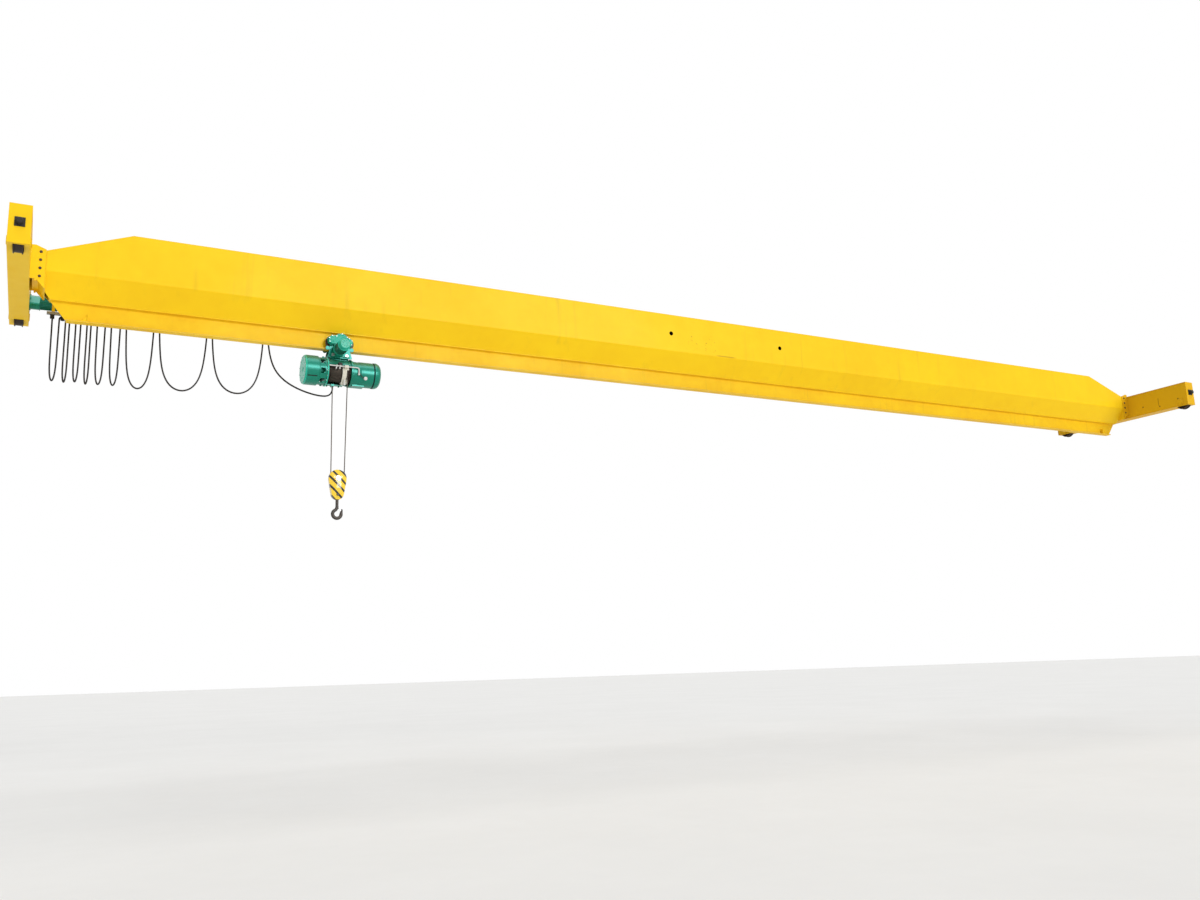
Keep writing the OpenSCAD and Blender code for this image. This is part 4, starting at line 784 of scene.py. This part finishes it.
def wrap_shape(x, steps=22):
    """The flat cable carried along a half circle over the saddle, from left to right."""
    angle = np.linspace(pi, 0, steps)
    path = np.stack([x + WRAP_R * np.cos(angle), np.full(steps, RAIL_Y),
                     SADDLE_Z + WRAP_R * np.sin(angle)], -1)
    return swept(path, flat_cable())


print("the cable is", round(np.ptp(flat_cable()[:, 1]) * 1000), "mm wide")

# %% [markdown]
# A carrier is a slider in the rail with a neck through its slot, and a plate that holds a saddle
# under the cable. Its parts could be cut from boxes and bevelled. They are rounded bars from a
# table of sizes instead, because a table is quick to read and to change.

# %% Shape of a carrier
SADDLE_HALF = 0.0144
# half sizes in x and y, corner, lowest and highest z, end rounding, size it counts on, y from rail
CARRIER_BARS = {
    "slider": ((0.014, 0.017), 0.004, (-0.066, -0.034), 0.003, 0.015, 0.0),
    "neck": ((0.014, 0.004), 0.002, (-0.084, -0.060), 0.001, 0.010, 0.0),
    "top": ((0.014, 0.012), 0.003, (-0.084, -0.077), 0.001, 0.012, 0.006),
    "plate": ((0.014, 0.002), 0.001, (-0.142, -0.078), 0.001, 0.010, 0.016),
}


def carrier_shape(x):
    """The four bars, and a round saddle that is cut off at half its radius below the middle."""
    bars = [post(*sizes, (x, RAIL_Y + beside)) for *sizes, beside in CARRIER_BARS.values()]
    outline = circle(SADDLE_R - 0.0005, 40)
    outline[:, 1] = np.maximum(outline[:, 1], -SADDLE_R / 2)
    saddle = stacked(outline, round_ends(-SADDLE_HALF, SADDLE_HALF, 0.002, SADDLE_R),
                     (x, RAIL_Y, SADDLE_Z), "y")
    return join(*bars, saddle)


print("a carrier has", len(carrier_shape(0)[1]), "faces")

# %% [markdown]
# A blend from bridge to trolley would have a weight that rises along X as a smooth step; the
# first function finds where that step reaches a given share. Each loop and carrier here only has
# its place moved into its mesh.


# %% Smooth step and baked places
def blend_time(share):
    """The t at which a smooth step, 3 t^2 - 2 t^3, is the share: 1/2 - sin(asin(1 - 2 share) / 3)."""
    return 0.5 - sin(asin(1 - 2 * share) / 3)


def follow(piece):
    """Moves the piece's place into its mesh, so that it stands at the origin.
    """
    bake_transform(piece)


print("a share of 0.2 is reached when t is", round(blend_time(0.2), 3))

# %% [markdown]
# Nine carriers and ten loops stand in for the plain cable and carriers of the CAD model. Copies of
# one loop would be simpler, but no two spans are the same, so each is worked out from its own
# ends. The parked loops hang nearly to one depth, and the last three are pulled flatter.

# %% Carriers, wraps and loops
LOOP_DEPTH, PARKED_LOOPS, PULLED_FLAT = 0.890, 7, [0.985, 0.95, 0.42]
depths = LOOP_DEPTH * np.where(turns < PARKED_LOOPS, 1 + 0.012 * np.sin(np.radians(137 * turns)),
                               np.array([0] * PARKED_LOOPS + PULLED_FLAT))
for k in range(1, len(turns)):
    for name, shape, node in (("cable_carrier", carrier_shape(hold_x[k]), "cable_carriers"),
                              ("cable_wrap", wrap_shape(hold_x[k]), "festoon_cable")):
        piece = add_piece(f"{name}_{k}", shape, cable_skin)
        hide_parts(node)
        follow(piece)
for k in turns:
    start = (hold_x[k] + (WRAP_R if k else 0), RAIL_Y, SADDLE_Z - (0 if k else SEAT_GAP))
    last = k == turns[-1]
    end = CABLE_END - [0, 0, 0.04] if last else (hold_x[k + 1] - WRAP_R, RAIL_Y, SADDLE_Z)
    path = hanging_loop(start, end, depths[k])
    if last:
        path = np.concatenate([path, [CABLE_END]])
    piece = add_piece(f"cable_loop_{k}", swept(path, flat_cable()), cable_skin)
    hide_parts("festoon_cable")
    follow(piece)

# %% [markdown]
# The cable begins at a terminal block under the rail's end, a small box with a gland and four
# screws. Each screw could be modelled in its place, but copies of one head are all alike, so one
# function turns and places them, here and for all bolts.

# %% Terminal block at the fixed end
SCREW_PLACES = [(FIRST_HOLD + side * 0.018, RAIL_Y - 0.020, z) for side in (-1, 1)
                for z in (-0.115, -0.082)]


def scatter(shape, places, facing):
    """Copies of a small shape that was made pointing up, at the places and turned to facing.

    Each point becomes x times a side direction + y times facing x side + z times facing + place.
    """
    facing = np.asarray(facing, float) / np.linalg.norm(facing)
    side = np.cross(facing, [0.0, 0.6, 0.8] if abs(facing[0]) > 0.5 else [1.0, 0.0, 0.0])
    side /= np.linalg.norm(side)
    basis = np.stack([side, np.cross(facing, side), facing])
    vertices, faces = shape
    return join(*[(vertices @ basis + np.asarray(place, float), faces) for place in places])


block = post((0.028, 0.020), 0.005, (-0.126, -0.0705), 0.003, 0.02, (FIRST_HOLD, RAIL_Y))
gland = stacked(circle(0.013, 24), [(-0.1258, 1), (-0.118, 1)], (FIRST_HOLD, RAIL_Y, 0))
head = stacked(circle(0.004, 10), [(0, 1), (0.003, 1), (0.004, 0.7)])
piece = add_piece("cable_terminal", join(block, gland, scatter(head, SCREW_PLACES, (0, -1, 0))),
                  cable_skin, "bridge")
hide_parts("cable_carriers")

# %% [markdown]
# ## Rope
# Wire rope is six strands laid round a core. Six twisted tubes would be the full way, but they
# cost many faces. One tube whose outline rises over each strand, and turns along the rope, shows
# the same. The two falls hang tight from the hoist, so they are straight lines.

# %% Hanging falls
ROPE_R, ROPE_LAY, GROOVE_PITCH, WOUND_R = 0.0075, 0.110, 0.017, 0.1438
HOIST_Z, SHEAVE_Z, HOOK_X, SHEAVE_R = -0.672, -2.285, -6.970, 0.098
FALL_X, DEAD_X, CASING_LOW = HOOK_X + SHEAVE_R, HOOK_X - SHEAVE_R, -0.861
LEAVES_DRUM_X = FALL_X - 0.006


def stranded(path, radius, lay, around=24, strands=6):
    """A tube whose radius rises and falls as |cos| round the ring, turning once in a lay's length."""
    path = np.asarray(path, float)
    step = np.linalg.norm(np.diff(path, axis=0), axis=1)
    length = np.concatenate([[0], np.cumsum(step)])
    angle = np.arange(around) * 2 * pi / around
    wave = np.abs(np.cos(strands / 2 * (angle[None] - 2 * pi * length[:, None] / lay)))
    size = radius * (0.86 + 0.14 * wave)
    return swept(path, np.stack([size * np.cos(angle), size * np.sin(angle)], -1))


fall = np.linspace((FALL_X, 0, SHEAVE_Z), (LEAVES_DRUM_X, -WOUND_R, HOIST_Z), 200)
dead = np.linspace((DEAD_X, 0, SHEAVE_Z), (DEAD_X, 0, CASING_LOW), 180)
for name, path, top in (("rope_fall", fall, HOIST_Z), ("rope_dead_end", dead, CASING_LOW)):
    piece = add_piece(name, stranded(path, ROPE_R, ROPE_LAY), rope_steel)
    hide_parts("hoist_ropes")
    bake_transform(piece)

# %% [markdown]
# Round the sheave the rope is half a circle that moves with the block. On the drum it is a helix
# in the grooves, and it turns with the drum. Each is a piece of its own, because a piece that
# bends between two bodies cannot also turn with a third.

# %% Rope on the sheave and on the drum
TURNS, PER_TURN, ROUND_STEPS = 15, 60, 60
angle = np.linspace(0, -pi, ROUND_STEPS)
under = np.stack([HOOK_X + SHEAVE_R * np.cos(angle), np.zeros(ROUND_STEPS),
                  SHEAVE_Z + SHEAVE_R * np.sin(angle)], -1)
add_piece("rope_round_sheave", stranded(under, ROPE_R, ROPE_LAY), rope_steel, "hook_block")

step = np.arange(TURNS * PER_TURN + 1) / PER_TURN
wound = np.stack([LEAVES_DRUM_X - GROOVE_PITCH * (TURNS - step),
                  -WOUND_R * np.cos(2 * pi * step),
                  HOIST_Z + WOUND_R * np.sin(2 * pi * step)], -1)
add_piece("rope_on_drum", stranded(wound, ROPE_R - 0.0004, ROPE_LAY, 18), rope_steel,
          "drum")

# %% [markdown]
# ## Bolts
# Bolts are small, but they give the eye the size of the rest. Bump could fake them, but only a
# shape casts a shadow. One head, a hexagon drawn in at the top on a washer, is made and copied.

# %% Bolts of the end cheeks
CHEEK_X, CHEEK_Y, CHEEK_BOLT_Z = 11.016, 0.258, (0.51, 0.397, 0.283, 0.17)


def bolt(flats, height, around=6):
    """A hexagon from its width over flats, drawn in at the top, on a thin round washer."""
    corner = flats / sqrt(3)
    head = stacked(circle(corner, around), [(0, 1), (height * 0.8, 1), (height, 0.82)])
    washer = stacked(circle(corner * 1.12, 14), [(0, 1), (height * 0.2, 1), (height * 0.24, 0.96)])
    return join(washer, head)


cheek_bolt = bolt(flats=0.030, height=0.013)
cheeks = [scatter(cheek_bolt, [(side * CHEEK_X, face * CHEEK_Y, z) for z in CHEEK_BOLT_Z],
                  (0, face, 0)) for side in (-1, 1) for face in (-1, 1)]
add_piece("cheek_bolts", join(*cheeks), dark_bolt, "bridge", 30)

# %% [markdown]
# The motor's cover has small socket screws, and the flange behind it a ring of bolts. Their places
# could be typed, but both rings are one formula, equal angles on a circle, with a radius and a
# count of their own.

# %% Screws of the hoist
COVER_FACE_X, FLANGE_FACE_X = -7.512, -7.190
COVER_RING, FLANGE_RING = (12, 0.196), (18, 0.2155)


def screw(radius, height):
    """A circle drawn in above four fifths of its height, with a hollow half as deep."""
    return stacked(circle(radius, 12), [(0, 1), (height * 0.8, 1), (height, 0.86), (height, 0.45),
                                        (height * 0.5, 0.40)])


def ring_of(count, radius, x, first=0.0):
    """Places at equal angles on a circle round the hoist's middle line, at one x."""
    angle = first + np.arange(count) * 2 * pi / count
    return [(x, radius * sin(a), HOIST_Z + radius * cos(a)) for a in angle]


cover = scatter(screw(radius=0.006, height=0.006),
                ring_of(*COVER_RING, COVER_FACE_X, first=0.2), (-1, 0, 0))
neck = scatter(bolt(flats=0.012, height=0.007), ring_of(*FLANGE_RING, FLANGE_FACE_X), (-1, 0, 0))
add_piece("hoist_screws", join(cover, neck), bright_steel, "trolley", 30)

# %% [markdown]
# The travel gearbox is closed by a cover of three round lobes, bolted near their rims. Typed places
# would be hard to shift, so each lobe has its middle, its radius and its bolts' angles.

# %% Bolts of the travel gearbox
GEAR_FACE_Y = -0.172
LOBES = [((-6.982, -0.215), 0.100, (35, 88, 142)),
         ((-7.108, -0.212), 0.060, (100, 160, 215)),
         ((-6.878, -0.232), 0.057, (-40, 30, 80))]
boss_places = [(x + r * cos(radians(a)), GEAR_FACE_Y, z + r * sin(radians(a)))
               for (x, z), r, angles in LOBES for a in angles]
gear_bolts = scatter(bolt(flats=0.013, height=0.008), boss_places, (0, -1, 0))
add_piece("travel_gear_screws", gear_bolts, bright_steel, "trolley", 30)

# %% [markdown]
# ## Small fittings of the hoist
# A limit switch sits over the rod that steers it, with a roller on its lever. They could be part of
# the CAD model, but they are small trim, so they are two rounded bars of the scene.

# %% Limit switch
ROD_Y, ROD_Z = -0.208, -0.624
SWITCH_AT, LEVER_AT = (-7.000, -0.184), (-7.030, ROD_Y, ROD_Z + 0.018)
switch = post((0.030, 0.017), 0.005, (-0.604, -0.566), 0.004, 0.02, SWITCH_AT)
lever = stacked(circle(0.006, 16), round_ends(-0.018, 0.018, 0.002, 0.006), LEVER_AT, "y")
add_piece("limit_switch", join(switch, lever), cable_skin, "trolley")

# %% [markdown]
# The rod bends down and ends in a ball, and a short cord joins it to a white knob on the gearbox.
# Ball and knob are turned shapes: circles whose radius follows a sine, flattened for the knob.
# A ready-made sphere would do for the ball only. Two stops sit on the rod, and a pale tab hangs
# under the casing.

# %% Rod end, knob and cord
TIP_AT, TIP_R = (-6.724, ROD_Y, -0.722), 0.016
KNOB_AT, KNOB_R, KNOB_HALF, STALK_R = np.array([-6.618, -0.186, -0.772]), 0.029, 0.014, 0.010
STOP_X, TAB_AT = (-7.066, -7.014), (-6.920, -0.118)
CORD_START, CORD_R, CORD_SAG = np.array([-6.716, ROD_Y, -0.700]), 0.0055, 0.020
# the scale of the first and last ring, so that a small disc closes each pole
POLE = 0.02
half_turn = np.linspace(0, pi, 17)
tip = stacked(circle(TIP_R, 32), [(TIP_R * -cos(a), max(sin(a), POLE)) for a in half_turn], TIP_AT)
knob = stacked(circle(KNOB_R, 40), [(KNOB_HALF * -cos(a), max(sin(a), POLE) ** 0.6)
                                    for a in half_turn], KNOB_AT, "y")
stalk = stacked(circle(STALK_R, 20), [(0.0, 1), (0.030, 1)], KNOB_AT, "y")
stops = [post((0.008, 0.015), 0.003, (-0.670, -0.640), 0.003, 0.01, (x, ROD_Y)) for x in STOP_X]
tab = post((0.012, 0.006), 0.003, (-0.888, -0.802), 0.003, 0.01, TAB_AT)
add_piece("rod_knob", join(tip, knob, stalk, tab, *stops), white_paint, "trolley")
t = np.linspace(0, 1, 24)[:, None]
drop = CORD_START * (1 - t) + (KNOB_AT + [-STALK_R, 0, 0]) * t
drop[:, 2] -= CORD_SAG * np.sin(pi * t[:, 0])
add_piece("limit_cord", swept(drop, circle(CORD_R, 14)), cable_skin, "trolley")

# %% [markdown]
# A cast rim runs round the lower left corner of the travel gearbox. Straight bars would show seams
# at the bend, so it is one small outline carried down, round a quarter circle and along below.

# %% Lower rim of the travel gearbox
RIM_Y, RIM_START, RIM_END = -0.106, (-7.128, -0.350), (-6.840, -0.452)
BEND_X, BEND_Z, BEND_R = -7.093, -0.405, 0.035
turn_down = np.radians(np.linspace(180, 270, 9))
bend = np.stack([BEND_X + BEND_R * np.cos(turn_down), np.full(9, RIM_Y),
                 BEND_Z + BEND_R * np.sin(turn_down)], -1)
rim = np.concatenate([[[RIM_START[0], RIM_Y, RIM_START[1]]], bend,
                      [[RIM_END[0], RIM_Y, RIM_END[1]]]])
add_piece("gearbox_rim", swept(rim, rounded_box(0.004, 0.0105, 0.002)), mint, "trolley")

# %% [markdown]
# A rubber strip seals a slot low on the motor's side. It could be drawn in its slanting place, but
# its outline is simplest lying flat, so it is made there and then turned round the motor's axis.

# %% Seal in the motor's slot
SLOT_X, SLOT_DEPTH, SLOT_ANGLE = -7.406, 0.2125, radians(215.6)
slot_turn = np.array([[1, 0, 0], [0, cos(SLOT_ANGLE), -sin(SLOT_ANGLE)],
                      [0, sin(SLOT_ANGLE), cos(SLOT_ANGLE)]])
vertices, faces = stacked(rounded_box(0.0705, 0.0085, 0.003), [(0, 1), (0.004, 1), (0.005, 0.98)])
vertices = vertices[:, [0, 2, 1]] + np.array([SLOT_X, SLOT_DEPTH - 0.0045, 0])
add_piece("motor_slot_seal", (vertices @ slot_turn.T + np.array([0, 0, HOIST_Z]), faces), rubber,
          "trolley")

# %% [markdown]
# ## Floor and light
# A pale floor carries the crane's soft shadow. A solid one would hide the crane in views from far
# below, so where the floor shows its back, its material lets the light through.

# %% Floor
FLOOR_Z, REACH = -6.8, 300
floor_mesh = bpy.data.meshes.new("floor")
corners = [(x * REACH, y * REACH, FLOOR_Z) for x, y in ((-1, -1), (1, -1), (1, 1), (-1, 1))]
floor_mesh.from_pydata(corners, [], [(0, 1, 2, 3)])
floor = in_scene("floor", floor_mesh)
floor_finish = finish(
    "pale floor", (0.80, 0.79, 0.77), (0.76, 0.75, 0.73, 1), scale=0.4, change=0.4,
    rough=(0.6, 0.75), wear=0.0, dust=0.0, streaks=0.0)
tree = floor_finish.node_tree
below = add(tree, "NewGeometry").outputs["Backfacing"]
clear = add(tree, "BsdfTransparent").outputs[0]
one_sided = add(tree, "MixShader", {0: below, 1: tree.nodes["Principled BSDF"].outputs[0],
                                    2: clear}).outputs[0]
tree.links.new(one_sided, tree.nodes["Material Output"].inputs["Surface"])
floor_mesh.materials.append(floor_finish)
print("floor at", FLOOR_Z)

# %% [markdown]
# The background is white to the camera and in reflections, but only a dim sky lights the crane.
# One bright world would do for both, but it would wash the yellow out.

# %% Background and sky
SKY, SKY_STRENGTH = (0.94, 0.97, 1, 1), 0.35
world = bpy.data.worlds.new("studio")
world.use_nodes = True
tree = world.node_tree
tree.nodes.clear()
rays = add(tree, "LightPath").outputs
seen = calc(tree, "MAXIMUM", rays["Is Camera Ray"], rays["Is Glossy Ray"])
seen = calc(tree, "MAXIMUM", seen, rays["Is Transmission Ray"])
backdrop = add(tree, "Background", {"Color": WHITE, "Strength": 1.0}).outputs[0]
ambient = add(tree, "Background", {"Color": SKY, "Strength": SKY_STRENGTH}).outputs[0]
both = add(tree, "MixShader", {0: seen, 1: ambient, 2: backdrop}).outputs[0]
add(tree, "OutputWorld", {"Surface": both})
bpy.context.scene.world = world
print("sky strength", SKY_STRENGTH)

# %% [markdown]
# Two broad suns show the finish. One hard lamp would look more striking, but its shadows would
# hide the far ends. The front sun gives the cylinders their bright band.


# %% Suns
def sun(name, strength, direction, softness):
    """A soft sun whose light travels along the direction; softness is its width in degrees."""
    data = bpy.data.lights.new(name, "SUN")
    data.energy = strength
    data.angle = radians(softness)
    lamp = in_scene(name, data)
    lamp.rotation_mode = "QUATERNION"
    lamp.rotation_quaternion = Vector(direction).to_track_quat("-Z", "Y")
    print(name, "sun of strength", strength)


sun("front", strength=1.55, direction=(-0.32, 0.90, -0.24), softness=24)
sun("above", strength=1.75, direction=(0.05, 0.15, -1.0), softness=60)
bpy.context.scene.view_settings.view_transform = "Standard"
